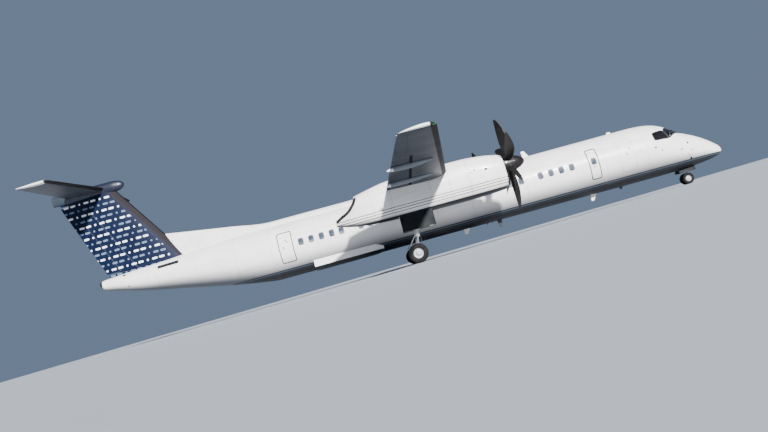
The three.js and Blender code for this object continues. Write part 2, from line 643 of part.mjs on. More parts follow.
function fuselage() {
  const parts = Object.fromEntries(Object.entries(SECTION_JOINTS).map(([name, [from, to]]) => [
    name,
    hull(FUSELAGE, from === 0 ? 0 : from + SEAT_GAP, to),
  ]));
  const noseShell = (deep) => hull(FUSELAGE, ...GLASS_STATIONS, { grow: -deep });
  for (const [name, side] of Object.entries(SIDES)) {
    const skin = cut(noseShell(0), noseShell(GLASS_DEPTH));
    piece(`cockpit_glass_${name}`, "glass", skin.intersect(glassPrism(side, GLASS_HALF_POST, -1)));
    const recess = cut(glassPrism(side, GLASS_HALF_POST - 1, 0), noseShell(GLASS_DEPTH + SEAT_GAP));
    parts.nose_section = cut(parts.nose_section, recess);
  }
  parts.nose_section = cut(parts.nose_section, noseBay());
  const { front, back, sill, head, depth, outside } = DOORWAY;
  const { beside, inside, deep, under, over } = KNUCKLE_ROOM;
  const knuckleRooms = (down) => KNUCKLES.map(([from, to]) => bay(from - beside, to + beside,
    DOOR_HINGE.y - inside, outside, DOOR_HINGE.z - down, sill + over));
  const doorway = join(bay(front, back, depth, outside, sill, head), ...knuckleRooms(deep));
  const [pinFront, pinBack] = [front - PIN_ROOT, back + PIN_ROOT];
  const pinSeat = bay(pinFront, pinBack, DOOR_HINGE.y - PIN_SEAT.inside, DOOR_HINGE.y + PIN_SEAT.outside,
    DOOR_HINGE.z - PIN_SEAT.deep, DOOR_HINGE.z);
  const pin = doorPin(DOOR_HINGE.pin, pinFront, pinBack);
  parts.front_cabin = join(cut(parts.front_cabin, doorway), cut(pinSeat, ...knuckleRooms(under)), pin);
  parts.rear_cabin = cut(parts.rear_cabin, centreWingOutside);
  for (const row of ANTENNAS) {
    const home = Object.entries(SECTION_JOINTS).find(([, [from, to]]) => row[0] >= from && row[0] < to)[0];
    parts[home] = join(parts[home], antenna(row));
  }
  for (const [name, solid] of Object.entries(parts)) {
    piece(name, name === "tail_light" ? "black" : "white", solid);
  }
}

// Nacelles
const NACELLE_Y = 4395;
const NACELLE = [
  // station, top, waist, bottom, half width
  [11400, 1150, 500, -150, 450],
  [11470, 1255, 500, -215, 545],
  [11750, 1340, 500, -250, 590],
  [12400, 1450, 500, -285, 625],
  [13200, 1512, 500, -300, 635],
  [15200, 1525, 480, -290, 635],
  [16600, 1450, 470, -245, 610],
  [17400, 1315, 450, -200, 545],
  [18080, 1170, 420, -130, 450],
  [18600, 1040, 350, -20, 340],
  [19030, 900, 250, 90, 215],
];
const EXHAUST = [
  [17300, 1130, 760, 420, 330],
  [18080, 1100, 700, 300, 380],
  [18600, 975, 520, 190, 285],
  [19200, 820, 400, 160, 150],
];
const INTAKE = [
  [11300, 215, 30, -125, 370],
  [11500, 190, 30, -110, 350],
  [12600, 420, 60, -140, 330],
];
const NACELLE_POWERS = { outside: 2.5, exhaust: 2.2, intake: 2.8 };
const SCARF = [
  // station, height of the nacelle's cut-away tail
  [17900, 1500],
  [18030, 1150],
  [18110, 950],
  [18230, 800],
  [18430, 620],
  [18750, 470],
  [19000, 350],
  [19200, 300],
  [19200, 1500],
];
const ENGINE = { front: 11680, back: 13830, half: 380, low: 320, high: 1220 };
const ENGINE_ROOM = { front: 11600, back: 13860, half: 405, high: 1275 };
const SCARF_HALF = 900;
const WELL = { front: 14850, back: 16350, half: 400, roof: 180, below: -900 };

// Propellers
const HUB_HEIGHT = 790;
const SPINNER = {
  tip: 10440, split: 10880, back: 11372, radius: 372, blunt: 2.2, round: 0.55, closed: 0.03,
  tipSteps: 5, drumSteps: 2, crowding: 1.7, points: 16,
};
const SHAFT = { radius: 50, bore: 50.9, sides: 20, end: 11640, root: 10 };
const BLADE = [
  // radius, chord, thickness, pitch from the disc, how far the chord's middle is swept
  [300, 200, 150, 72, 0],
  [800, 375, 58, 60, 26],
  [1150, 440, 40, 52, 28],
  [1500, 405, 28, 46, 2],
  [1800, 285, 18, 42, -52],
  [1980, 160, 11, 40, -110],
  [2055, 60, 6, 39, -150],
];
const BLADE_COUNT = 6;
const BLADE_STEPS = 3; // along each face of a blade
const BLADE_CURVE = { middle: 0.9, spread: 1.3 }; // where a blade is thickest, and how bluntly it rounds off

function blade(turn) {
  const rings = BLADE.map(([radius, chord, thick, pitch, sweep]) => {
    const angle = THREE.MathUtils.degToRad(pitch);
    const [c, s] = [Math.cos(angle), Math.sin(angle)];
    return Array.from({ length: 2 * BLADE_STEPS }, (_, i) => {
      const share = i <= BLADE_STEPS ? i / BLADE_STEPS : 2 - i / BLADE_STEPS;
      const side = i <= BLADE_STEPS ? 1 : -1;
      const along = chord * (0.5 - share) + sweep;
      const round = Math.sqrt(1 - (2 * share - BLADE_CURVE.middle) ** 2 / BLADE_CURVE.spread);
      const face = i % BLADE_STEPS === 0 ? 0 : (side * thick * round) / 2;
      const point = new THREE.Vector3(along * s + face * c, -along * c + face * s, radius);
      point.applyAxisAngle(new THREE.Vector3(1, 0, 0), turn);
      return point.toArray();
    });
  });
  return loft(rings);
}

// The spinner's outline is a quarter of a rounded oval, cut between two stations.
function spinnerPart(from, to) {
  const { tip, back, radius, blunt, round, closed, crowding, points } = SPINNER;
  const steps = from === tip ? SPINNER.tipSteps : SPINNER.drumSteps;
  const at = (station) => {
    const left = 1 - (station - tip) / (back - tip);
    return radius * Math.max(closed, (1 - left ** blunt) ** round);
  };
  const rings = Array.from({ length: steps + 1 }, (_, i) => {
    const share = i / steps;
    const station = from + (to - from) * (from === tip ? share ** crowding : share);
    const reach = at(station);
    return ovalRing([station, reach, 0, -reach, reach], points, 2, 0, 0);
  });
  return loft(rings);
}

function powerplant(name, side) {
  const middle = side * NACELLE_Y;
  const tunnel = (table, power) => hull(table, ...ends(table), { points: 16, power, middle });
  const scarf = new THREE.ExtrudeGeometry(
    new THREE.Shape(SCARF.map(([station, z]) => new THREE.Vector2(-station, z))),
    { depth: 2 * SCARF_HALF, bevelEnabled: false },
  );
  scarf.rotateX(Math.PI / 2);
  scarf.translate(0, middle + SCARF_HALF, 0);
  const { front, back, half, roof, below } = WELL;
  const shaftAlong = (from, to, height, y, radius) =>
    rod([-from, y, height], [-to, y, height], radius, radius, SHAFT.sides);
  const body = cut(
    hull(NACELLE, ...ends(NACELLE), { points: 20, power: NACELLE_POWERS.outside, middle }),
    centreWingOutside,
    tunnel(EXHAUST, NACELLE_POWERS.exhaust),
    tunnel(INTAKE, NACELLE_POWERS.intake),
    solidOf(scarf),
    shaftAlong(SPINNER.back, ENGINE.front, HUB_HEIGHT, middle, SHAFT.bore),
    bay(ENGINE_ROOM.front, ENGINE_ROOM.back, middle - ENGINE_ROOM.half, middle + ENGINE_ROOM.half,
      ENGINE.low - SEAT_GAP, ENGINE_ROOM.high),
    bay(front, back, middle - half, middle + half, below, roof),
  );
  piece(`nacelle_${name}`, "white", body);
  piece(`engine_${name}`, "steel", bay(ENGINE.front, ENGINE.back, middle - ENGINE.half,
    middle + ENGINE.half, ENGINE.low, ENGINE.high));

  const raise = (solid) => solid.translate([0, middle, HUB_HEIGHT]);
  piece(`spinner_${name}`, "black", raise(spinnerPart(SPINNER.tip, SPINNER.split)));
  const blades = Array.from({ length: BLADE_COUNT }, (_, i) => {
    const made = blade((2 * Math.PI * i) / BLADE_COUNT);
    return made.translate([-(SPINNER.split + SPINNER.back) / 2, 0, 0]);
  });
  const drum = spinnerPart(SPINNER.split + SEAT_GAP, SPINNER.back);
  const shaft = shaftAlong(SPINNER.back - SHAFT.root, SHAFT.end, 0, 0, SHAFT.radius);
  const propeller = piece(`propeller_${name}`, "black", raise(join(drum, shaft, ...blades)));
  hinge(propeller, [-SPINNER.back, middle, HUB_HEIGHT], [-SPINNER.tip, middle, HUB_HEIGHT]);
}

// Landing gear. A tyre has flat facets, and stands on one of them.
const TYRE_SEGMENTS = 20;
const AXLE_SIDES = 20;
const MAIN_GEAR = {
  station: 15940, tyreRadius: 432, tyreHalf: 132, rimRadius: 215, spread: 258, axle: 48, bore: 48.9,
  housing: 78, housingHalf: 108, padHalf: 45, padDrop: 22, pivotStation: 15560, pivotZ: 60,
};
const MAIN_STRUT = {
  pivot: 70, top: 118, foot: 105, piston: 72, sleeveEnd: 0.64, pistonStart: 0.6, // shares of the leg's length
  linkEnd: 0.93, linkReach: 300, linkHalf: 62, linkThick: 30,
};
const MAIN_BRACE = {
  behind: 90, above: 20, pin: 42, strut: 34, knee: 44, kneeShare: 0.5, kneeAhead: 60, kneeHalf: 120,
  topSpread: 250, kneeSpread: 95,
};
const NOSE_GEAR = {
  station: 2000, tyreRadius: 280, tyreHalf: 80, rimRadius: 140, spread: 168, axle: 26, bore: 26.7,
  housing: 44, housingHalf: 70, padHalf: 30, padDrop: 14, pivotZ: -960,
};
const NOSE_STRUT = { pivot: 42, sleeve: 62, collar: 66, collarLow: -1540, piston: 40, pistonTop: -1530 };
const NOSE_BRACE = { behind: 60, above: 20, pin: 26, strut: 24, foot: -1350 };
const NOSE_LINK = { top: -1514, foot: 30, reach: 150, half: 24, thick: 12 };
const BORE_REACH = 500;
const MAIN_DOOR = { front: 14880, back: 16320, thick: 22, top: -70, mouth: -196, out: 62, low: -905 };
const NOSE_BAY = { front: 1400, back: 2420, half: 235, roof: -860, below: -2000 };
const NOSE_DOOR = { front: 1560, back: 2380, thick: 16, top: -1210, mouth: -1322, out: 62, low: -1490 };
const STEERING_SPLIT = -1480;

// Height, in the airframe's axes, of an axle whose tyre stands on the ground.
function axleHeight({ station, tyreRadius }) {
  const flat = tyreRadius * Math.cos(Math.PI / TYRE_SEGMENTS);
  return (flat - NOSE_AXIS_HEIGHT - station * Math.sin(NOSE_DOWN)) / Math.cos(NOSE_DOWN);
}

const TYRE_WALL = [
  // share of the height over the rim, share of the half width
  [0, 0.72],
  [0.4, 1],
  [0.84, 0.9],
  [1, 0.6],
];

function tyreProfile({ tyreRadius, tyreHalf, rimRadius }) {
  const at = ([rise, wide], side) => [rimRadius + (tyreRadius - rimRadius) * rise, side * wide * tyreHalf];
  const half = (side) => TYRE_WALL.map((row) => at(row, side));
  return [...half(-1), ...half(1).reverse(), at(TYRE_WALL[0], -1)];
}

// A pair of wheels' hubs, turning as one with the axle between them.
const HUB_PROFILE = [
  // share of the rim's radius, share of the tyre's half width, outward
  [0, -0.5],
  [1, -0.5],
  [1, 0.64],
  [0.8, 0.3],
  [0.34, 0.3],
  [0.3, 0.76],
  [0, 0.76],
];

function hubs({ tyreHalf, rimRadius, spread, axle }, at) {
  const seat = rimRadius - SEAT_GAP;
  const disc = (middle, out) =>
    HUB_PROFILE.map(([reach, across]) => [seat * reach, middle + out * tyreHalf * across]);
  const outer = turned(disc(spread, 1), TYRE_SEGMENTS, at);
  const inner = turned(disc(-spread, -1).reverse(), TYRE_SEGMENTS, at);
  const [x, y, z] = at;
  return join(outer, inner, rod([x, y - spread, z], [x, y + spread, z], axle, axle, AXLE_SIDES));
}

function mainGear(name, side) {
  const gear = MAIN_GEAR;
  const middle = side * NACELLE_Y;
  const height = axleHeight(gear);
  const at = [-gear.station, middle, height];
  const pivot = [-gear.pivotStation, middle, gear.pivotZ];
  const point = (share) => pivot.map((v, i) => v + (at[i] - v) * share);
  const across = ([x, , z], half, ...more) => rod([x, middle - half, z], [x, middle + half, z], ...more);
  const strut = MAIN_STRUT;
  const wall = WELL.half - SEAT_GAP;
  const housing = (radius) => across(at, gear.housingHalf, radius, radius, AXLE_SIDES);
  const leg = (grow) => join(
    across(pivot, wall, strut.pivot + grow),
    rod(pivot, point(strut.sleeveEnd), strut.top + grow, strut.foot + grow),
    rod(point(strut.pistonStart), point(1), strut.piston + grow),
    housing(gear.housing + grow),
    jackPad(at, gear),
    ...torqueLinks(point(strut.pistonStart), point(strut.linkEnd), -strut.linkReach, strut.linkHalf,
      strut.linkThick),
  );
  piece(`main_leg_${name}`, "grey", cut(leg(0), across(at, BORE_REACH, gear.bore, gear.bore, AXLE_SIDES)));

  const { behind, above, topSpread, kneeSpread, kneeAhead, kneeShare, kneeHalf } = MAIN_BRACE;
  const top = [-WELL.front - behind, middle, gear.pivotZ + above];
  const legPoint = point(kneeShare);
  const knee = [legPoint[0] + kneeAhead, middle, legPoint[2]];
  const beside = ([x, y, z], out) => [x, y + out, z];
  const brace = join(
    across(top, wall, MAIN_BRACE.pin),
    ...[-1, 1].map((way) =>
      rod(beside(top, way * topSpread), beside(knee, way * kneeSpread), MAIN_BRACE.strut)),
    across(knee, kneeHalf, MAIN_BRACE.knee),
  );
  piece(`main_brace_${name}`, "grey", cut(brace, leg(SEAT_GAP)));

  const axle = piece(`main_hubs_${name}`, "grey", hubs(gear, at));
  hinge(axle, at, [at[0], middle + 100, height]);
  tyres(`main_tyre_${name}`, gear, at);

  for (const [place, way] of Object.entries({ outer: side, inner: -side })) {
    piece(`main_door_${place}_${name}`, "white", gearDoor(MAIN_DOOR, WELL.half, middle, way));
  }
}

// An open gear door: it hangs from the side wall of its bay, and leans out below the skin.
function gearDoor({ front, back, thick, top, mouth, out, low }, half, middle, way) {
  const wall = half - SEAT_GAP;
  const section = [
    [wall - thick, top],
    [wall, top],
    [wall, mouth],
    [wall + out, low],
    [wall + out - thick, low],
    [wall - thick, mouth - thick / 4],
  ];
  const shape = new THREE.Shape(section.map(([y, z]) => new THREE.Vector2(way * y, z)));
  const door = new THREE.ExtrudeGeometry(shape, { depth: back - front, bevelEnabled: false });
  door.applyMatrix4(new THREE.Matrix4().makeBasis(
    new THREE.Vector3(0, 1, 0), new THREE.Vector3(0, 0, 1), new THREE.Vector3(1, 0, 0)));
  return solidOf(door.translate(-back, middle, 0));
}

// The flat block under an axle's housing that a jack stands under.
function jackPad([x, y, z], { padHalf, padDrop, housing }) {
  return block(x - padHalf, x + padHalf, y - padHalf, y + padHalf, z - housing - padDrop, z);
}

// Two flat links, folded at a knee, that stop a leg's foot from turning.
function torqueLinks(top, foot, reach, wide, thick) {
  const knee = top.map((v, i) => (v + foot[i]) / 2 + (i === 0 ? reach : 0));
  const plate = (from, to) => {
    const corners = [[from, -1], [from, 1], [to, 1], [to, -1]];
    const at = (lift) => corners.map(([[x, y, z], way]) => [x, y + way * wide, z + lift]);
    return loft([at(-thick), at(thick)]);
  };
  return [plate(top, knee), plate(knee, foot)];
}

function tyres(name, gear, [x, y, z]) {
  for (const [place, way] of Object.entries({ a: 1, b: -1 })) {
    const tyre = turned(tyreProfile(gear), TYRE_SEGMENTS, [x, y + way * gear.spread, z]);
    piece(`${name}_${place}`, "rubber", tyre);
  }
}

function noseBay() {
  const { front, back, half, below, roof } = NOSE_BAY;
  return bay(front, back, -half, half, below, roof);
}

function noseGear() {
  const gear = NOSE_GEAR;
  const height = axleHeight(gear);
  const at = [-gear.station, 0, height];
  const wall = NOSE_BAY.half - SEAT_GAP;
  const upright = (top, low, radius) => rod([at[0], 0, top], [at[0], 0, low], radius);
  const across = ([x, , z], half, ...more) => rod([x, -half, z], [x, half, z], ...more);
  const [strut, brace, link] = [NOSE_STRUT, NOSE_BRACE, NOSE_LINK];
  const braceTop = [-NOSE_BAY.back + brace.behind, 0, gear.pivotZ + brace.above];
  piece("nose_leg", "grey", join(
    across([at[0], 0, gear.pivotZ], wall, strut.pivot),
    upright(gear.pivotZ, STEERING_SPLIT, strut.sleeve),
    across(braceTop, wall, brace.pin),
    rod(braceTop, [at[0], 0, brace.foot], brace.strut),
  ));
  const fork = join(
    upright(STEERING_SPLIT - SEAT_GAP, strut.collarLow, strut.collar),
    upright(strut.pistonTop, height, strut.piston),
    across(at, gear.housingHalf, gear.housing, gear.housing, AXLE_SIDES),
    ...torqueLinks([at[0], 0, link.top], [at[0], 0, height + link.foot], link.reach, link.half, link.thick),
    jackPad(at, gear),
  );
  const bore = across(at, BORE_REACH, gear.bore, gear.bore, AXLE_SIDES);
  const steering = piece("nose_fork", "grey", cut(fork, bore));
  hinge(steering, [at[0], 0, height], [at[0], 0, gear.pivotZ]);
  const axle = piece("nose_hubs", "grey", hubs(gear, at));
  hinge(axle, at, [at[0], 100, height]);
  tyres("nose_tyre", gear, at);
  for (const [name, way] of Object.entries(SIDES)) {
    piece(`nose_door_${name}`, "white", gearDoor(NOSE_DOOR, NOSE_BAY.half, 0, way));
  }
}

fuselage();
fairings();
airstairDoor();
wings();
tail();
for (const [name, side] of Object.entries(SIDES)) {
  powerplant(name, side);
  mainGear(name, side);
}
noseGear();

// The part's origin is on the ground, in the middle of its length and span.
airliner.updateMatrixWorld(true);
const room = new THREE.Box3().setFromObject(airliner, true);
airliner.position.set(-(room.min.x + room.max.x) / 2, 0, -room.min.z);

export default airliner;
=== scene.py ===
"""The looks of a parked twin-engined turboprop airliner, dressed over its CAD frame."""

import math

import bmesh
import bpy
import numpy as np
from mathutils import Matrix, Vector


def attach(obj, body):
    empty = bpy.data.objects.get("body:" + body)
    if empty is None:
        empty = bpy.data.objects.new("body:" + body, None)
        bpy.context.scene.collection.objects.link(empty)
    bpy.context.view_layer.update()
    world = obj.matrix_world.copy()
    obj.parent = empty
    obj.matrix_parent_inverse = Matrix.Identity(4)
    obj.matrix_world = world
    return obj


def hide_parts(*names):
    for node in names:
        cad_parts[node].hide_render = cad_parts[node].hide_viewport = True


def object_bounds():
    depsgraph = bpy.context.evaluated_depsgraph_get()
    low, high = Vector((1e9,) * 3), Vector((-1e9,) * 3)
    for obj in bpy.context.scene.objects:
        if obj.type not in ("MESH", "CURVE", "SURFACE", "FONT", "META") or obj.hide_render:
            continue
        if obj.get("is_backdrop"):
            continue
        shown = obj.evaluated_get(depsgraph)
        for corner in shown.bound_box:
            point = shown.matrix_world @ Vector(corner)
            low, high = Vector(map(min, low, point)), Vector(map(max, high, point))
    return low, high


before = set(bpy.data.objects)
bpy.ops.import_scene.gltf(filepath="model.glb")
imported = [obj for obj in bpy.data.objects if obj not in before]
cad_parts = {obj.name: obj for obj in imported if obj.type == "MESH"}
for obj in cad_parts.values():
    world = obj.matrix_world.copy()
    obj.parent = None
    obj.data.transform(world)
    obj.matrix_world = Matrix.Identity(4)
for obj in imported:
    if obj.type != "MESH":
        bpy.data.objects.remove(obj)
cad_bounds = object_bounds()

# The airframe's own axes: station aft from the nose tip, y to the left, z up from the fuselage's axis,
# in metres. The parked airliner leans one degree on its nose leg.
NOSE_AT = (16.37454, 2.06)
LEAN = math.radians(1)
COS, SIN = math.cos(LEAN), math.sin(LEAN)
ACROSS = np.array([0.0, 1.0, 0.0])
SIDES = (("left", 1), ("right", -1))
BOTH, LEFT, RIGHT = (-1, 1), (1,), (-1,)
WELD = 2e-5


def placed(points):
    """Points given as station, y and z, in the row frame."""
    station, y, z = np.asarray(points, float).reshape(-1, 3).T
    x = NOSE_AT[0] - COS * station + SIN * z
    return np.column_stack((x, y, NOSE_AT[1] + SIN * station + COS * z))


# Curves through tables


def slopes(x, y):
    """Slopes of a smooth curve that never overshoots its points."""
    step = np.diff(x)
    rise = np.diff(y, axis=0) / step[:, None]
    inner = np.zeros_like(y)
    w1 = (2 * step[1:] + step[:-1])[:, None]
    w2 = (step[1:] + 2 * step[:-1])[:, None]
    a, b = rise[:-1], rise[1:]
    with np.errstate(divide="ignore", invalid="ignore"):
        mean = (w1 + w2) / (w1 / a + w2 / b)
    inner[1:-1] = np.where(a * b > 0, mean, 0.0)
    inner[0], inner[-1] = rise[0], rise[-1]
    return inner


def curve(table, values, power=1.0):
    """Rows of a table at other values of its first column. A power below 1 rounds off the front."""
    table = np.asarray(table, float)
    start = table[0, 0]
    x = (table[:, 0] - start) ** power
    at = (np.clip(np.atleast_1d(np.asarray(values, float)), start, table[-1, 0]) - start) ** power
    y = table[:, 1:]
    m = slopes(x, y)
    i = np.clip(np.searchsorted(x, at, side="right") - 1, 0, len(x) - 2)
    h = (x[i + 1] - x[i])[:, None]
    t = ((at - x[i])[:, None]) / h
    return (
        (1 + 2 * t) * (1 - t) ** 2 * y[i]
        + t * (1 - t) ** 2 * h * m[i]
        + t * t * (3 - 2 * t) * y[i + 1]
        + t * t * (t - 1) * h * m[i + 1]
    )


def smooth(path, count):
    """More points on a smooth curve through a few."""
    path = np.asarray(path, float)
    steps = np.append(0, np.cumsum(np.linalg.norm(np.diff(path, axis=0), axis=1)))
    return curve(np.column_stack((steps, path)), np.linspace(0, steps[-1], count))


def lines(*stretches):
    """Values along stretches of (from, to, steps), without doubles."""
    found = []
    for start, end, steps in stretches:
        found.extend(np.linspace(start, end, steps + 1))
    kept = []
    for value in sorted(found):
        if not kept or value - kept[-1] > 1e-6:
            kept.append(value)
    return np.array(kept)


def turns(count):
    """Angles evenly round a circle."""
    return np.linspace(0, 2 * math.pi, count, endpoint=False)


def unit(v):
    v = np.asarray(v, float)
    return v / np.linalg.norm(v)


def between(start, end, share):
    start, end = np.asarray(start, float), np.asarray(end, float)
    return start + (end - start) * share


# Meshes


class Shape:
    """Points in the airframe's axes, faces through them, and the number of each face's finish."""

    def __init__(self):
        self.points = []
        self.faces = []
        self.finish = []

    def add(self, points, faces, finish=0):
        start = len(self.points)
        self.points.extend(tuple(map(float, p)) for p in points)
        self.faces.extend(tuple(start + k for k in face) for face in faces)
        self.finish.extend([finish] * len(faces))

    def grid(self, rows, finish=0, around=False, caps=False):
        """Quads between rows of points. around closes each row on itself, and caps closes both ends."""
        rows = np.asarray(rows, float)
        deep, wide = rows.shape[:2]
        faces = []
        for r in range(deep - 1):
            for c in range(wide if around else wide - 1):
                d = (c + 1) % wide
                faces.append((r * wide + c, r * wide + d, (r + 1) * wide + d, (r + 1) * wide + c))
        if caps:
            faces.append(tuple(range(wide))[::-1])
            faces.append(tuple(range((deep - 1) * wide, deep * wide)))
        self.add(rows.reshape(-1, 3), faces, finish)

    def boss(self, loops, finishes):
        """Rings between loops of points, and a lid on the last loop."""
        for outer, inner, finish in zip(loops, loops[1:], finishes):
            self.grid([outer, inner], finish, around=True)
        self.add(loops[-1], [tuple(range(len(loops[-1])))], finishes[-1])


def square_to(direction):
    """Two directions that stand square to one another and to a direction."""
    d = unit(direction)
    other = np.array([0.0, 0.0, 1.0]) if abs(d[2]) < 0.9 else ACROSS
    u = unit(np.cross(other, d))
    return u, np.cross(d, u)


def circle(sides, u, v):
    angle = turns(sides)
    return np.cos(angle)[:, None] * u + np.sin(angle)[:, None] * v


def turned(shape, start, end, profile, finish=0, sides=24):
    """A body turned round the line from start to end. The profile's rows are distance along it and radius."""
    start = np.asarray(start, float)
    axis = unit(np.asarray(end, float) - start)
    ring = circle(sides, *square_to(axis))
    shape.grid([start + axis * along + ring * radius for along, radius in profile], finish, True, True)


def bar(shape, start, end, radius, finish=0, sides=20, lip=0.15):
    """A round bar whose ends are chamfered."""
    length = float(np.linalg.norm(np.subtract(end, start)))
    edge = radius * lip
    profile = [(0, radius - edge), (edge, radius), (length - edge, radius), (length, radius - edge)]
    turned(shape, start, end, profile, finish, sides)


def cross_bar(shape, at, half, radius, finish=0, sides=28, lip=0.15):
    """A round bar across the airframe, with a point as its middle."""
    bar(shape, at - ACROSS * half, at + ACROSS * half, radius, finish, sides, lip)


def hose(shape, path, radius, finish=0, sides=10):
    """A bent round tube along points."""
    path = np.asarray(path, float)
    rows = []
    u = square_to(path[1] - path[0])[0]
    for i, point in enumerate(path):
        ahead = unit(path[min(i + 1, len(path) - 1)] - path[max(i - 1, 0)])
        u = unit(u - ahead * np.dot(u, ahead))
        rows.append(point + radius * circle(sides, u, np.cross(ahead, u)))
    shape.grid(rows, finish, around=True, caps=True)


def slab(shape, low, high, edge=0.004, finish=0, lean=None):
    """A block with chamfered edges. lean is an angle in degrees that turns it round the station axis."""
    low, high = np.minimum(low, high).astype(float), np.maximum(low, high).astype(float)
    mid, half = (low + high) / 2, (high - low) / 2
    edge = min(edge, 0.45 * half.min())
    bm = bmesh.new()
    bmesh.ops.create_cube(bm, size=2.0)
    for v in bm.verts:
        v.co = Vector([mid[k] + v.co[k] * half[k] for k in range(3)])
    bmesh.ops.bevel(bm, geom=list(bm.edges), offset=edge, segments=2, affect="EDGES", profile=0.5)
    if lean:
        matrix = Matrix.Rotation(math.radians(lean), 3, "X")
        bmesh.ops.rotate(bm, verts=bm.verts, cent=Vector(mid), matrix=matrix)
    bm.verts.index_update()
    shape.add([v.co[:] for v in bm.verts], [[v.index for v in f.verts] for f in bm.faces], finish)
    bm.free()


def cleaned(name, shape, finishes, weld=WELD):
    """A mesh from a shape, in the row frame, with its doubles welded and its faces turned outward."""
    mesh = bpy.data.meshes.new(name)
    mesh.from_pydata(placed(shape.points).tolist(), [], shape.faces)
    for finish in finishes:
        mesh.materials.append(finish)
    mesh.polygons.foreach_set("material_index", np.array(shape.finish, np.int32))
    bm = bmesh.new()
    bm.from_mesh(mesh)
    bmesh.ops.remove_doubles(bm, verts=bm.verts, dist=weld)
    bmesh.ops.dissolve_degenerate(bm, edges=bm.edges, dist=1e-6)
    bmesh.ops.recalc_face_normals(bm, faces=bm.faces)
    bm.to_mesh(mesh)
    bm.free()
    return mesh


def linked(name, data):
    obj = bpy.data.objects.new(name, data)
    bpy.context.scene.collection.objects.link(obj)
    return obj


def ridden(name, mesh, body="airframe", replaces=None, slot=None, sharp=32):
    """Makes a finished mesh into a piece that rides on a body."""
    mesh.polygons.foreach_set("use_smooth", np.ones(len(mesh.polygons), bool))
    mesh.set_sharp_from_angle(angle=math.radians(sharp))
    obj = linked(name, mesh)
    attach(obj, body)
    if replaces:
        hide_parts(replaces)


def piece(name, shape, finishes, **options):
    """Makes a shape into a piece."""
    ridden(name, cleaned(name, shape, finishes), **options)


# Finishes


def tone(code):
    """A colour from its six-digit code, as the shader takes it."""
    parts = [int(code[k:k + 2], 16) / 255 for k in (0, 2, 4)]
    return tuple(((p + 0.055) / 1.055) ** 2.4 if p > 0.04045 else p / 12.92 for p in parts) + (1.0,)


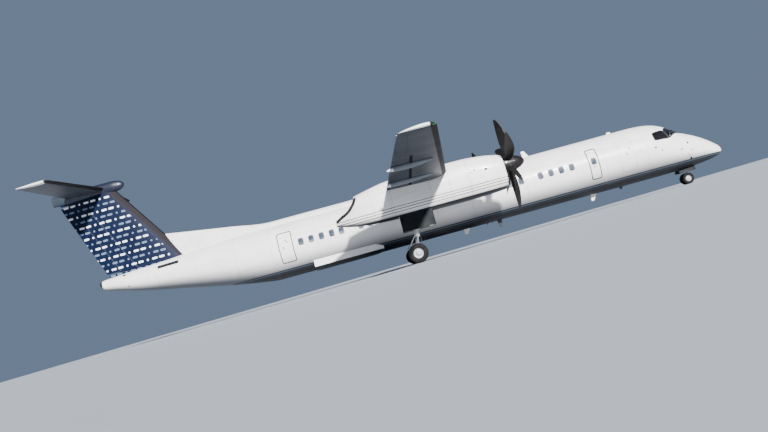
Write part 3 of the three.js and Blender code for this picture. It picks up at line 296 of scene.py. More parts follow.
class Finish:
    """A node material, put together step by step."""

    def __init__(self, name, metallic=0.0, coat=0.0, coat_roughness=0.1, ior=1.5, specular=0.5):
        self.material = bpy.data.materials.new(name)
        self.material.use_nodes = True
        self.tree = self.material.node_tree
        self.shader = self.tree.nodes["Principled BSDF"]
        self.feed(self.shader, {"Metallic": metallic, "IOR": ior, "Specular IOR Level": specular,
                                "Coat Weight": coat, "Coat Roughness": coat_roughness})
        places = self.tree.nodes.new("ShaderNodeTexCoord")
        self.spot = places.outputs["Object"]
        self.facing = places.outputs["Normal"]

    def feed(self, node, inputs):
        """Gives a node's sockets, named or numbered, a value or a link."""
        for key, value in inputs.items():
            if isinstance(value, bpy.types.NodeSocket):
                self.tree.links.new(value, node.inputs[key])
            else:
                node.inputs[key].default_value = value

    def math(self, operation, *values):
        node = self.tree.nodes.new("ShaderNodeMath")
        node.operation = operation
        self.feed(node, dict(enumerate(values)))
        return node.outputs[0]

    def minus(self, first, second):
        return self.math("SUBTRACT", first, second)

    def times(self, first, second):
        return self.math("MULTIPLY", first, second)

    def vector(self, operation, second):
        node = self.tree.nodes.new("ShaderNodeVectorMath")
        node.operation = operation
        self.feed(node, {0: self.spot, 1: second})
        return node

    def along(self, direction, shift=0.0):
        """How far a point lies along a direction of the row frame."""
        return self.math("ADD", self.vector("DOT_PRODUCT", direction).outputs["Value"], shift)

    def station(self):
        return self.along((-COS, 0.0, SIN), COS * NOSE_AT[0] - SIN * NOSE_AT[1])

    def height(self):
        return self.along((SIN, 0.0, COS), -SIN * NOSE_AT[0] - COS * NOSE_AT[1])

    def span(self):
        return self.math("ABSOLUTE", self.along((0.0, 1.0, 0.0)))

    def facing_up(self, edge=0.0, soft=0.15):
        """1 on an upper surface and 0 on a lower one."""
        node = self.tree.nodes.new("ShaderNodeSeparateXYZ")
        self.feed(node, {0: self.facing})
        return self.above(node.outputs["Z"], edge, soft)

    def ranged(self, kind, *values):
        node = self.tree.nodes.new("ShaderNodeMapRange")
        node.interpolation_type = kind
        self.feed(node, dict(enumerate(values)))
        return node.outputs[0]

    def above(self, value, edge, soft=0.002):
        """0 under an edge and 1 over it."""
        return self.ranged("SMOOTHSTEP", value, edge - soft, edge + soft, 0.0, 1.0)

    def below(self, value, edge, soft=0.002):
        return self.minus(1.0, self.above(value, edge, soft))

    def spread(self, value, low, high):
        """A value from 0 to 1, spread over a range."""
        return self.ranged("LINEAR", value, 0.0, 1.0, low, high)

    def mix(self, share, first, second):
        node = self.tree.nodes.new("ShaderNodeMix")
        node.data_type = "RGBA"
        self.feed(node, {0: share, 6: first, 7: second})
        return node.outputs[2]

    def noise(self, scale, detail=4.0, stretch=(1.0, 1.0, 1.0), warp=0.0):
        node = self.tree.nodes.new("ShaderNodeTexNoise")
        spot = self.vector("MULTIPLY", stretch).outputs[0]
        self.feed(node, {"Vector": spot, "Scale": scale, "Detail": detail, "Distortion": warp})
        return node.outputs[0]

    def shown(self, colour, rough):
        self.feed(self.shader, {"Base Color": colour, "Roughness": rough})
        return self.material

    def worn(self, colour, shade=0.14, scale=0.9, rough=(0.28, 0.42), grain=220.0, depth=0.0004,
             stretch=(1.0, 1.0, 1.0), dirt="6b6258", gloss=None):
        """Ends a finish: soft blotches on its colour, uneven gloss and a fine grain."""
        share = self.times(self.above(self.noise(scale, 6.0, stretch, 0.3), 0.56, 0.16), shade)
        if gloss is None:
            gloss = self.spread(self.noise(scale * 5, 3.0), *rough)
        bump = self.tree.nodes.new("ShaderNodeBump")
        self.feed(bump, {"Height": self.noise(grain, 2.0), "Strength": 0.35, "Distance": depth})
        self.feed(self.shader, {"Normal": bump.outputs[0]})
        return self.shown(self.mix(share, colour, tone(dirt)), gloss)


PAINT_WHITE = tone("f2efec")
# The wing's and the tailplane's underside greys are darker than their tops: painted shade.
WING_UNDER_SHADE = tone("1e2631")
TAIL_UNDER_SHADE = tone("363b43")
TOP_GREY = tone("686d73")
LINE_BLUE = tone("0d1015")
BELLY_BLUE = tone("0a1016")
NAVY = tone("040c25")
BOOT_BROWN = tone("110e0d")


def streaked(finish, colour, amount=0.10, dirt="776c60"):
    """Dirt drawn out along the airframe."""
    streak = finish.noise(2.2, 5.0, (0.16, 1.0, 2.2), 0.2)
    return finish.mix(finish.times(finish.above(streak, 0.6, 0.14), amount), colour, tone(dirt))


def shaded_under(finish, colour, edge, soft, amount, code):
    """Paints shade: darkens what faces down toward a colour."""
    under = finish.minus(1.0, finish.facing_up(edge, soft))
    return finish.mix(finish.times(under, amount), colour, tone(code))


def painted(finish, colour, bands):
    """Lays level bands of paint over a colour. A band's row is low, high and colour."""
    level = finish.height()
    for low, high, paint in bands:
        inside = finish.minus(finish.above(level, low, 0.0025), finish.above(level, high, 0.0025))
        colour = finish.mix(inside, colour, paint)
    return colour


HULL_BANDS = [
    (-0.995, -0.950, LINE_BLUE),
    (-1.045, -0.995, tone("434c58")),
    (-1.090, -1.045, LINE_BLUE),
    (-1.125, -1.090, tone("222b36")),
    (-9.0, -1.125, BELLY_BLUE),
]
# Stripes on the nacelle, and below them a dark band that is painted shade.
NACELLE_BANDS = [
    (0.214, 0.244, LINE_BLUE),
    (0.104, 0.134, LINE_BLUE),
    (-0.008, 0.022, LINE_BLUE),
    (-0.165, -0.135, LINE_BLUE),
    (-9.0, -0.165, BELLY_BLUE),
]
TRAY_BANDS = [(-9.0, -1.20, BELLY_BLUE)]
GLOSS_EDGE = -0.96
SOOT_STATION = 17.9
NACELLE_FACE = 11.412


def hull_finish():
    finish = Finish("hull_paint", coat=0.05, specular=0.35)
    # Darkened where it faces down: painted shade.
    colour = shaded_under(finish, streaked(finish, PAINT_WHITE), -0.52, 0.38, 0.95, "252e38")
    gloss = finish.spread(finish.above(finish.height(), GLOSS_EDGE, 0.01), 0.62, 0.34)
    return finish.worn(painted(finish, colour, HULL_BANDS), shade=0.07, gloss=gloss)


def tray_finish():
    """The belly fairing is white down to an edge of its own, lower than the hull's."""
    finish = Finish("belly_tray_paint", specular=0.3)
    colour = painted(finish, streaked(finish, PAINT_WHITE), TRAY_BANDS)
    return finish.worn(colour, shade=0.08, rough=(0.4, 0.55))


def nacelle_finish():
    """White with stripes and sooty aft of the exhaust; dark below the stripes, where it faces down and on its
    front face, which is painted shade.
    """
    finish = Finish("nacelle_paint", coat=0.1, specular=0.35)
    # Darkened where it faces down: painted shade.
    colour = shaded_under(finish, streaked(finish, PAINT_WHITE, 0.16), -0.72, 0.2, 0.92, "1b2129")
    colour = painted(finish, colour, NACELLE_BANDS)
    soot = finish.times(finish.above(finish.station(), SOOT_STATION, 0.9), finish.noise(3.0, 5.0))
    colour = finish.mix(finish.times(soot, 0.35), colour, tone("57504b"))
    # Dark on the front face behind the spinner: painted shade.
    colour = finish.mix(finish.below(finish.station(), NACELLE_FACE, 0.003), colour, tone("2a2a2c"))
    return finish.worn(colour, shade=0.09)


# Leading edges as station, where the sweep starts, and sweep
WING_LEAD = (13.88, 4.95, 0.0929)
TAIL_LEAD = (30.08, 0.0, 0.1298)
FIN_LEAD = (26.713, 0.9, 0.6789)
BOOT_DEEP = 0.20


def behind_lead(finish, out, lead):
    """How far behind its leading edge a point lies, from how far out it is."""
    start, kink, sweep = lead
    past = finish.math("MAXIMUM", finish.minus(out, kink), 0.0)
    return finish.minus(finish.station(), finish.math("MULTIPLY_ADD", past, sweep, start))


def wing_finish(name, lead, under, streaks, tip, rough, dirt):
    """Paler above and darker below, the darker underside being painted shade, with white tips and a brown
    boot along the leading edge.
    """
    finish = Finish(name, specular=0.3)
    # The underside is darker than the top: painted shade.
    colour = streaked(finish, finish.mix(finish.facing_up(), under, TOP_GREY), 0.3, streaks)
    colour = finish.mix(finish.above(finish.span(), tip, 0.004), colour, PAINT_WHITE)
    boot = finish.below(behind_lead(finish, finish.span(), lead), BOOT_DEEP, 0.004)
    colour = finish.mix(boot, colour, BOOT_BROWN)
    return finish.worn(colour, shade=0.25, dirt=dirt, gloss=finish.spread(boot, *rough))


# The fin's pattern: level rows of dashes and dots, each row shifted against the next, in two colours
ROW_PITCH = 0.30
ROW_SHIFT = 0.37
MARK_PITCH = 0.36
MARK_RADIUS = 0.050
DASH_HALF = 0.085
PATTERN_FRONT = 0.50


def fin_finish():
    finish = Finish("fin_paint", specular=0.15)
    minus, times, above = finish.minus, finish.times, finish.above
    rows = finish.math("DIVIDE", finish.height(), ROW_PITCH)
    row = finish.math("FLOOR", rows)
    up = times(minus(minus(rows, row), 0.5), ROW_PITCH)
    marks = finish.math("DIVIDE", finish.station(), MARK_PITCH)
    marks = finish.math("MULTIPLY_ADD", row, ROW_SHIFT, marks)
    mark = finish.math("FLOOR", marks)
    aft = finish.math("ABSOLUTE", times(minus(minus(marks, mark), 0.5), MARK_PITCH))
    half = times(above(finish.math("MODULO", mark, 3.0), 0.5, 0.1), DASH_HALF)
    past = finish.math("MAXIMUM", minus(aft, half), 0.0)
    away = finish.math("SQRT", finish.math("ADD", times(past, past), times(up, up)))
    behind = behind_lead(finish, finish.height(), FIN_LEAD)
    shown = times(finish.below(away, MARK_RADIUS, 0.003), above(behind, PATTERN_FRONT, 0.004))
    odd = finish.math("MODULO", row, 2.0)
    colour = finish.mix(finish.noise(0.8, 3.0), NAVY, tone("0a1834"))
    colour = finish.mix(shown, colour, finish.mix(odd, tone("eef1f4"), tone("64748b")))
    boot = finish.below(behind, 0.34, 0.16)
    colour = finish.mix(boot, colour, tone("241f22"))
    colour = finish.mix(finish.below(behind, 0.05, 0.02), colour, tone("0b0c10"))
    return finish.worn(colour, shade=0.08, dirt="2a3340", gloss=finish.spread(boot, 0.5, 0.78))


def plain_finish(name, code, shade=0.2, scale=3.0, rough=(0.35, 0.5), metallic=0.0, coat=0.0, grain=260.0,
                 depth=0.0004, dirt="3b3733", second=None, specular=0.5):
    """A finish of one colour, worn, mottled with a second colour."""
    finish = Finish(name, metallic=metallic, coat=coat, specular=specular)
    colour = finish.mix(finish.noise(scale * 0.7, 4.0), tone(code), tone(second or code))
    return finish.worn(colour, shade, scale, rough, grain, depth, dirt=dirt)


def pane_finish():
    """Cabin window glass in patches of dark grey-blue, with a painted reflection in paler patches over its
    lower part.
    """
    finish = Finish("cabin_pane", specular=0.07)
    patch = finish.noise(3.1, 2.0)
    # Paler in patches over its lower part: painted reflection.
    share = finish.times(finish.below(finish.height(), 0.10, 0.05), finish.above(patch, 0.5, 0.12))
    colour = finish.mix(finish.spread(patch, 0.0, 1.0), tone("242c39"), tone("434c5a"))
    colour = finish.mix(share, colour, tone("747b86"))
    return finish.shown(colour, finish.spread(finish.noise(9.0), 0.30, 0.42))


def cockpit_finish():
    finish = Finish("cockpit_glass", coat=0.25, coat_roughness=0.02, ior=1.35)
    colour = finish.mix(finish.above(finish.noise(1.6, 3.0), 0.5, 0.2), tone("0e0d10"), tone("1d1a1e"))
    return finish.shown(colour, finish.spread(finish.noise(7.0), 0.03, 0.09))


HULL = hull_finish()
TRAY_PAINT = tray_finish()
NACELLE_PAINT = nacelle_finish()
WING_PAINT = wing_finish("wing_paint", WING_LEAD, WING_UNDER_SHADE, "62666a", 14.15, (0.5, 0.82), "3f444b")
TAILPLANE_PAINT = wing_finish("tailplane_paint", TAIL_LEAD, TAIL_UNDER_SHADE, "2c3138", 4.5, (0.45, 0.8), "4c4a48")
FIN_PAINT = fin_finish()
BULLET_PAINT = plain_finish("bullet_paint", "070d1d", 0.12, coat=0.2, second="0c1730")
BULLET_STEEL = plain_finish("bullet_steel", "2a333d", 0.25, metallic=0.3, second="37424d")
FAIRING_PAINT = plain_finish("fairing_paint", "7c838b", 0.15, rough=(0.4, 0.55), second="6f767e")
WHITE = plain_finish("white_paint", "efedea", 0.1, coat=0.3, second="e7e5e2")
SEAM = plain_finish("seam_sealant", "66686c", 0.4, second="55575b", rough=(0.5, 0.7), specular=0.2)
OUTLINE = plain_finish("outline_paint", "26262a", 0.2, rough=(0.5, 0.65), second="1f1f23", specular=0.2)
# Dark sealant in joints, also laid as painted shade in the tail cone's louvres.
DARK_SEAM_AND_SHADE = plain_finish("dark_sealant_and_shade", "1b1d21", 0.3, rough=(0.5, 0.7), specular=0.2)
PANE = pane_finish()
COCKPIT = cockpit_finish()
RUBBER_SEAL = plain_finish("window_seal", "25262a", 0.3, rough=(0.55, 0.75))
REVEAL = plain_finish("window_reveal", "565d68", 0.2)
PROPELLER = plain_finish("propeller_black", "0e0b0c", 0.3, 4.0, (0.5, 0.65), second="151112", dirt="2b2422",
                         specular=0.25)
SPINNER_PAINT = plain_finish("spinner_black", "110c0e", 0.2, 4.0, (0.34, 0.46), coat=0.1, second="1a1315",
                             dirt="2e2624", specular=0.3)
CUFF_METAL = plain_finish("cuff_metal", "2d2a2a", 0.3, 7.0, (0.45, 0.6), metallic=0.6, second="3a3635")
TYRE = plain_finish("tyre_rubber", "121213", 0.4, 6.0, (0.8, 0.94), dirt="332f2c", depth=0.001, specular=0.2)
GEAR_PAINT = plain_finish("gear_paint", "c7cacc", 0.35, 7.0, dirt="5b5650")
HUB_PAINT = plain_finish("hub_paint", "b9bcbf", 0.4, 8.0, metallic=0.3, dirt="46413c")
CHROME = plain_finish("chrome", "d5d8da", 0.08, 9.0, (0.08, 0.16), metallic=1.0)
STEEL = plain_finish("bare_steel", "8d9093", 0.35, 9.0, (0.28, 0.45), metallic=0.9)
HOT_METAL = plain_finish("hot_metal", "26211f", 0.4, 5.0, (0.4, 0.6), metallic=0.6, second="171414")
# Near black in the intakes, along the flaps' slots and in the hubs' holes: painted shade.
CAVITY_SHADE = plain_finish("painted_cavity_shade", "0a0b0c", 0.3, 4.0, (0.7, 0.9), dirt="1d1e20", specular=0.1)
BAY_PAINT = plain_finish("bay_paint", "8f9a86", 0.4, 4.0, (0.5, 0.7), second="7d8876")
LINER = plain_finish("cabin_liner", "cdccc8", 0.15, 5.0, (0.5, 0.65), second="bdbcb8")
BULKHEAD = plain_finish("bulkhead_panel", "8e959e", 0.2, 4.0, (0.4, 0.55), second="9aa1a9")
CARPET = plain_finish("cabin_carpet", "3a4250", 0.3, 12.0, (0.85, 0.95), grain=900.0, depth=0.003)
TREAD = plain_finish("step_tread", "2e3034", 0.4, 12.0, (0.6, 0.8), grain=500.0, depth=0.002)
# Dark like the belly; under the nacelles, on the main gear doors, it is painted shade.
DOOR_PAINT_AND_SHADE = plain_finish("door_paint_and_shade", "0c1218", 0.25, 2.0, (0.5, 0.62), second="10171e", specular=0.12)
BOOT = plain_finish("blade_boot", "262324", 0.5, 6.0, (0.5, 0.7), dirt="5a524c")
RED_LAMP = plain_finish("red_lamp", "8c1c1c", 0.1, rough=(0.08, 0.15), coat=1.0)
GREEN_LAMP = plain_finish("green_lamp", "1c7a44", 0.1, rough=(0.08, 0.15), coat=1.0)
CLEAR_LAMP = plain_finish("clear_lamp", "c9d0d6", 0.1, rough=(0.06, 0.12), coat=1.0)
LAMP_BLACK = plain_finish("lamp_housing", "1b1c1f", 0.2, rough=(0.25, 0.4))


# Fuselage

FUSELAGE = [
    # station, top, waist, bottom, half width
    (0.0, -0.800, -0.870, -0.940, 0.070),
    (0.06, -0.640, -0.870, -1.030, 0.200),
    (0.27, -0.455, -0.840, -1.115, 0.380),
    (0.67, -0.150, -0.760, -1.200, 0.630),
    (1.15, 0.150, -0.640, -1.262, 0.840),
    (1.66, 0.400, -0.500, -1.305, 1.010),
    (1.93, 0.520, -0.430, -1.317, 1.080),
    (2.33, 0.830, -0.330, -1.328, 1.160),
    (2.70, 1.060, -0.220, -1.336, 1.225),
    (3.10, 1.215, -0.120, -1.342, 1.280),
    (3.60, 1.305, -0.040, -1.345, 1.325),
    (4.30, 1.345, 0.0, -1.345, 1.345),
    (22.60, 1.345, 0.0, -1.345, 1.345),
    (23.60, 1.336, 0.059, -1.219, 1.278),
    (24.60, 1.303, 0.123, -1.057, 1.180),
    (25.60, 1.254, 0.199, -0.856, 1.055),
    (27.60, 1.148, 0.358, -0.432, 0.790),
    (29.60, 1.051, 0.516, -0.019, 0.535),
    (30.60, 0.984, 0.619, 0.254, 0.365),
    (31.30, 0.925, 0.690, 0.455, 0.235),
    (31.45, 0.870, 0.745, 0.620, 0.125),
]
RADIUS = 1.345
NOSE_TIP = (-0.004, 0.0, -0.87)
CABIN_JOINT = 12.7
CABIN_END = 22.6
SECTIONS = [
    # piece, CAD node, front station, back station
    ("radome_skin", "radome", 0.0, 1.15),
    ("nose_skin", "nose_section", 1.15, 4.0),
    ("front_cabin_skin", "front_cabin", 4.0, CABIN_JOINT),
    ("rear_cabin_skin", "rear_cabin", CABIN_JOINT, CABIN_END),
    ("tail_cone_skin", "tail_section", CABIN_END, 31.3),
]
NOSE_BAY = {"front": 1.40, "back": 2.42, "half": 0.235, "roof": -0.86}
DOORWAY = {"front": 4.50, "back": 5.26, "sill": -0.95, "head": 0.79}
SILL = math.degrees(math.asin(DOORWAY["sill"] / RADIUS))
HEAD = math.degrees(math.asin(DOORWAY["head"] / RADIUS))
BAY_ARC = 12.0  # degrees of skin lines on each side of the keel that follow the nose bay
BAND = (-3.8, 16.4)
BAND_STEPS = 8
CELL_LONG = 0.3
WINDOW = {"wide": 0.275, "tall": 0.36, "half_cell": 0.2, "steps": 6, "deep": 0.02}
WINDOW_LOOPS = [
    # share of the hole's size, depth, finish of the ring inside the loop
    (1.0, 0.0, 0),
    (0.975, 0.004, 1),
    (0.955, WINDOW["deep"], 1),
    (0.82, WINDOW["deep"], 2),
    (0.60, WINDOW["deep"] - 0.002, 2),
    (0.28, WINDOW["deep"] - 0.003, 2),
]
WINDOWS = [6.59, 7.68, 8.20, 8.71, 9.23, 10.19, 10.73, 11.29, 11.86, 12.38, 12.89, 13.40, 14.37, 14.96,
           15.71, 16.14, 16.65, 17.17, 17.68, 18.14, 19.10, 19.58, 20.09, 20.60, 21.11]
PLUGGED = [9.71, 18.62]


def section(station):
    return curve(FUSELAGE, station, 0.5).T


def skin(station, degrees, lift=0.0):
    """A point of the fuselage's skin. The angle starts at the left and goes up over the crown."""
    station, degrees = np.broadcast_arrays(np.asarray(station, float), np.asarray(degrees, float))
    top, waist, bottom, half = section(station.ravel())
    angle = np.radians(degrees.ravel())
    c, s = np.cos(angle), np.sin(angle)
    reach = np.where(s > 0, top - waist, waist - bottom)
    n = np.column_stack((c / half, s / reach))
    n /= np.linalg.norm(n, axis=1)[:, None]
    found = np.column_stack((station.ravel(), half * c + lift * n[:, 0], waist + reach * s + lift * n[:, 1]))
    return found.reshape(station.shape + (3,))


def sided(degrees, side):
    """An angle round a body on its one side for side 1, and the same place on the other for side -1."""
    return degrees if side > 0 else 180 - degrees


def angle_of(station, z, side):
    """The skin's angle at a height, on the left for side 1 and on the right for side -1."""
    top, waist, bottom, _ = section(station)
    z = np.asarray(z, float)
    share = (z - waist) / np.where(z > waist, top - waist, waist - bottom)
    return sided(np.degrees(np.arcsin(np.clip(share, -1, 1))), side)


def skin_at(station, z, side, lift=0.0):
    return skin(station, angle_of(station, z, side), lift)


def keel_edge(station):
    """Half the angle that the nose bay takes out of the skin at a station."""
    return math.degrees(math.asin(NOSE_BAY["half"] / section(station)[3][0]))


def fixed_angles():
    low, high = BAND
    keel = (270 - BAY_ARC, 270 + BAY_ARC)
    return lines((low, high, BAND_STEPS), (high, HEAD, 5), (HEAD, 180 - HEAD, 28),
                 (180 - HEAD, 180 - high, 5), (180 - high, 180 - low, BAND_STEPS),
                 (180 - low, 180 - SILL, 10), (180 - SILL, keel[0], 8), (*keel, 6), (keel[1], 360 + SILL, 8),
                 (360 + SILL, 360 + low, 10))[:-1]


ANGLES = fixed_angles()


def angles_at(station):
    """The skin's angle lines at one station. Two of them follow the nose bay's edges."""
    angles = ANGLES.copy()
    if NOSE_BAY["front"] - 0.01 < station < NOSE_BAY["back"] + 0.01:
        edge = keel_edge(station)
        near = np.abs(angles - 270) <= BAY_ARC + 0.001
        angles[near] = 270 + (angles[near] - 270) * edge / BAY_ARC
        for side, end in ((-1, 180 - SILL), (1, 360 + SILL)):
            start = 270 + side * BAY_ARC
            part = (angles > min(start, end) + 1e-6) & (angles < max(start, end) - 1e-6) & ~near
            share = (angles[part] - start) / (end - start)
            angles[part] = 270 + side * edge + (end - 270 - side * edge) * share
    return angles


def station_lines():
    half = WINDOW["half_cell"]
    fixed = [(0.0, 0.012, 1), (0.012, 0.1, 5), (0.1, 0.4, 6), (0.4, 1.15, 9), (1.15, NOSE_BAY["front"], 3),
             (NOSE_BAY["front"], NOSE_BAY["back"], 12), (NOSE_BAY["back"], 4.0, 16),
             (4.0, DOORWAY["front"], 3), (DOORWAY["front"], DOORWAY["back"], 6), (CABIN_END, 31.3, 44)]
    cursor = DOORWAY["back"]
    for centre in WINDOWS:
        stops = [CABIN_JOINT] if cursor < CABIN_JOINT < centre - half else []
        for stop in [*stops, centre - half]:
            fixed.append((cursor, stop, max(1, round((stop - cursor) / CELL_LONG))))
            cursor = stop
        fixed.append((centre - half, centre + half, WINDOW["steps"]))
        cursor = centre + half
    fixed.append((cursor, CABIN_END, 4))
    return lines(*fixed)


def rounded(across_share, up_share, power=4.5):
    """Puts the edge of a square on a rounded one."""
    angle = math.atan2(up_share, across_share)
    c, s = abs(math.cos(angle)), abs(math.sin(angle))
    r = (c ** power + s ** power) ** (-1 / power)
    return r * math.cos(angle), r * math.sin(angle)


def window(shape, centre, side):
    """Fills a window's cell: skin up to the hole, its rounded edge, a reveal, and the pane."""
    half = WINDOW["half_cell"]
    low, high = BAND if side > 0 else (180 - BAND[1], 180 - BAND[0])
    middle, half_band = (low + high) / 2, math.radians(high - low) / 2
    steps = np.linspace(centre - half, centre + half, WINDOW["steps"] + 1)
    ups = np.linspace(low, high, BAND_STEPS + 1)
    edge = [(s, low) for s in steps[:-1]] + [(steps[-1], a) for a in ups[:-1]]
    edge += [(s, high) for s in steps[:0:-1]] + [(steps[0], a) for a in ups[:0:-1]]
    loops = [[skin(s, a) for s, a in edge]]
    around = [rounded((s - centre) / half, math.radians(a - middle) / half_band) for s, a in edge]
    for scale, depth, _ in WINDOW_LOOPS:
        wide, tall = WINDOW["wide"] / 2 * scale, math.degrees(WINDOW["tall"] / 2 * scale / RADIUS)
        loops.append([skin(centre + u * wide, middle + v * tall, -depth) for u, v in around])
    shape.boss(loops, [0] + [row[2] for row in WINDOW_LOOPS])


def kept_cells(middle):
    """The columns of the skin's grid that stay at a station, beside windows, doorway and nose bay."""
    low, high = BAND
    in_window = any(abs(middle - centre) < WINDOW["half_cell"] for centre in WINDOWS)
    in_bay = NOSE_BAY["front"] < middle < NOSE_BAY["back"]
    in_door = DOORWAY["front"] < middle < DOORWAY["back"]
    cells = []
    for c, (start, end) in enumerate(zip(ANGLES, [*ANGLES[1:], 360 + ANGLES[0]])):
        turn = ((start + end) / 2 + 90) % 360 - 90
        glazed = in_window and (low < turn < high or 180 - high < turn < 180 - low)
        open_below = in_bay and abs((start + end) / 2 - 270) < BAY_ARC
        if not (glazed or open_below or in_door and SILL < turn < HEAD):
            cells.append(c)
    return cells


def fuselage():
    stations = station_lines()
    count = len(ANGLES)
    grid = np.array([skin(s, angles_at(s)) for s in stations])
    parts = {row[0]: Shape() for row in SECTIONS}

    def home(station):
        return parts[next(row[0] for row in SECTIONS if row[2] < station < row[3])]

    for r in range(len(stations) - 1):
        middle = (stations[r] + stations[r + 1]) / 2
        faces = [(c, (c + 1) % count, count + (c + 1) % count, count + c) for c in kept_cells(middle)]
        home(middle).add(np.concatenate((grid[r], grid[r + 1])), faces)
    tip = [(c, (c + 1) % count, count) for c in range(count)]
    parts["radome_skin"].add(np.vstack((grid[0], [NOSE_TIP])), tip)
    for centre in WINDOWS:
        for side in (1, -1):
            window(home(centre), centre, side)
    for name, node, _, _ in SECTIONS:
        piece(name, parts[name], [HULL, REVEAL, PANE], replaces=node, slot="white_paint", sharp=30)


def ribbon(shape, path, side, wide, finish=0, lift=0.0022, closed=True):
    """A thin strip on the skin, along a path of stations and heights; seams, painted outlines and the
    louvres' painted shade are drawn with it.
    """
    path = [np.array(p, float) for p in path]
    count = len(path)
    edges = ([], [])
    for i, point in enumerate(path):
        before = path[i - 1] if closed or i else point
        after = path[(i + 1) % count] if closed or i + 1 < count else point
        along = unit(after - before)
        for row, way in zip(edges, BOTH):
            row.append(point + way * wide / 2 * np.array([-along[1], along[0]]))
    rows = []
    for row in edges:
        stations, heights = np.array(row).T
        rows.append(skin_at(stations, heights, side, lift))
    shape.grid(rows, finish, around=closed)


def frame_path(front, back, low, high, corner=0.07, step=0.03):
    """A rectangle with rounded corners, as stations and heights close together."""
    path = []
    for cx, cz, first in ((back - corner, high - corner, 0), (front + corner, high - corner, 90),
                          (front + corner, low + corner, 180), (back - corner, low + corner, 270)):
        for k in range(7):
            angle = math.radians(first + 15 * k)
            path.append((cx + corner * math.cos(angle), cz + corner * math.sin(angle)))
    full = []
    for i, (a, b) in enumerate(path):
        c, d = path[(i + 1) % len(path)]
        parts = max(1, int(math.hypot(c - a, d - b) / step))
        full.extend((a + (c - a) * k / parts, b + (d - b) * k / parts) for k in range(parts))
    return full


EXITS = [
    # front, back, sill, head, sides, strip width, finish
    (4.61, 5.31, -0.75, 0.80, RIGHT, 0.008, 0),
    (6.36, 6.83, -0.70, 0.74, BOTH, 0.046, 2),
    (21.52, 22.20, -0.66, 0.78, BOTH, 0.044, 2),
    (23.15, 24.05, -0.52, 0.62, LEFT, 0.010, 0),
]
RADOME_SEAM = 1.15
SEAM_STATIONS = [RADOME_SEAM, 4.0, 6.05, 7.20, 9.97, 12.70, 15.33, 18.35, 20.35, 22.60, 24.40, 26.40, 28.40,
                 30.30]
SEAM_LIFT = 0.0016
LONG_SEAM_ANGLES = (24.0, 156.0, 52.0, 128.0)
LONG_SEAM_REACHES = ((4.02, 12.3), (18.6, 22.5))
HANDLES = [
    # station, height, sides, length, tilt in degrees
    (4.78, 0.28, RIGHT, 0.16, 62),
    (4.98, 0.06, RIGHT, 0.12, 62),
    (6.60, -0.12, BOTH, 0.10, 0),
    (21.80, 0.34, BOTH, 0.20, 55),
    (21.98, 0.05, RIGHT, 0.12, 55),
]
# Louvres on the tail cone, drawn as dark strips: painted shade in their openings.
SLOTS = [
    # front, back, height, width of a slot, slots above each other
    (27.22, 28.32, 0.835, 0.045, 4),
    (30.00, 30.20, 0.905, 0.070, 1),
]
PORTS = [
    # station, height, radius, sides
    (1.89, -0.91, 0.055, BOTH),
    (1.90, -0.16, 0.048, BOTH),
    (3.55, -0.01, 0.048, BOTH),
    (3.27, -0.21, 0.034, BOTH),
    (4.30, 0.05, 0.018, RIGHT),
    (7.30, -0.42, 0.016, RIGHT),
    (9.55, 0.52, 0.020, BOTH),
    (22.50, -0.62, 0.020, RIGHT),
    (28.90, 0.36, 0.024, BOTH),
    (29.95, 0.32, 0.036, BOTH),
]
DISC_SIDES = 20
DISC_LIFT = 0.004
DISC_LOOPS = ((1.0, 0.0), (1.0, 1.0), (0.75, 1.4), (0.3, 1.5))
PLUG_ARC = {"wide": 0.12, "tall": 0.11, "foot": 0.19}


def disc(shape, radius, on_skin, finish=0):
    """A low round boss. on_skin gives the skin's points from steps aft, steps up and their lift."""
    angle = turns(DISC_SIDES)
    loops = [on_skin(radius * scale * np.cos(angle), radius * scale * np.sin(angle), DISC_LIFT * rise)
             for scale, rise in DISC_LOOPS]
    shape.boss(loops, [finish] * 3)


def skin_strip(shape, station, degrees, half_station=0.0, half_degrees=0.0):
    """A thin strip round the skin or along it."""
    shape.grid([skin(station + way * half_station, degrees + way * half_degrees, SEAM_LIFT) for way in BOTH])


def skin_details():
    seams = Shape()
    for station in SEAM_STATIONS:
        angles = np.append(angles_at(station), angles_at(station)[0] + 360)
        skin_strip(seams, station, angles, 0.0045 if station == RADOME_SEAM else 0.003)
    for degrees in LONG_SEAM_ANGLES:
        for front, back in LONG_SEAM_REACHES:
            skin_strip(seams, np.arange(front, back, 0.15), degrees, half_degrees=0.1)
    for front, back, low, high, sides, wide, finish in EXITS:
        for side in sides:
            ribbon(seams, frame_path(front, back, low, high), side, wide, finish)
    for station in PLUGGED:
        for side in BOTH:
            arc = [(station + PLUG_ARC["wide"] * math.cos(t),
                    PLUG_ARC["foot"] + PLUG_ARC["tall"] * math.sin(t)) for t in np.radians(range(0, 181, 12))]
            ribbon(seams, arc, side, 0.008, 0, closed=False)
    for front, back, z, wide, count in SLOTS:
        for side in BOTH:
            for k in range(count):
                level = z + (k - (count - 1) / 2) * wide * 0.78
                path = [(s, level - 0.012 * (s - front)) for s in np.linspace(front, back, 16)]
                ribbon(seams, path, side, wide, 1, 0.004, closed=False)
    for station, z, sides, length, tilt in HANDLES:
        c, s = math.cos(math.radians(tilt)), math.sin(math.radians(tilt))
        path = [(station + t * length * c, z + t * length * s) for t in np.linspace(-0.5, 0.5, 7)]
        for side in sides:
            ribbon(seams, path, side, 0.036, 1, 0.006, closed=False)
    piece("skin_seams", seams, [SEAM, DARK_SEAM_AND_SHADE, OUTLINE], sharp=60)
    ports = Shape()
    for station, z, radius, sides in PORTS:
        for side in sides:
            disc(ports, radius, lambda aft, up, lift: skin_at(station + aft, z + up, side, lift))
    piece("static_ports", ports, [DARK_SEAM_AND_SHADE])


# Wing, tailplane and fin

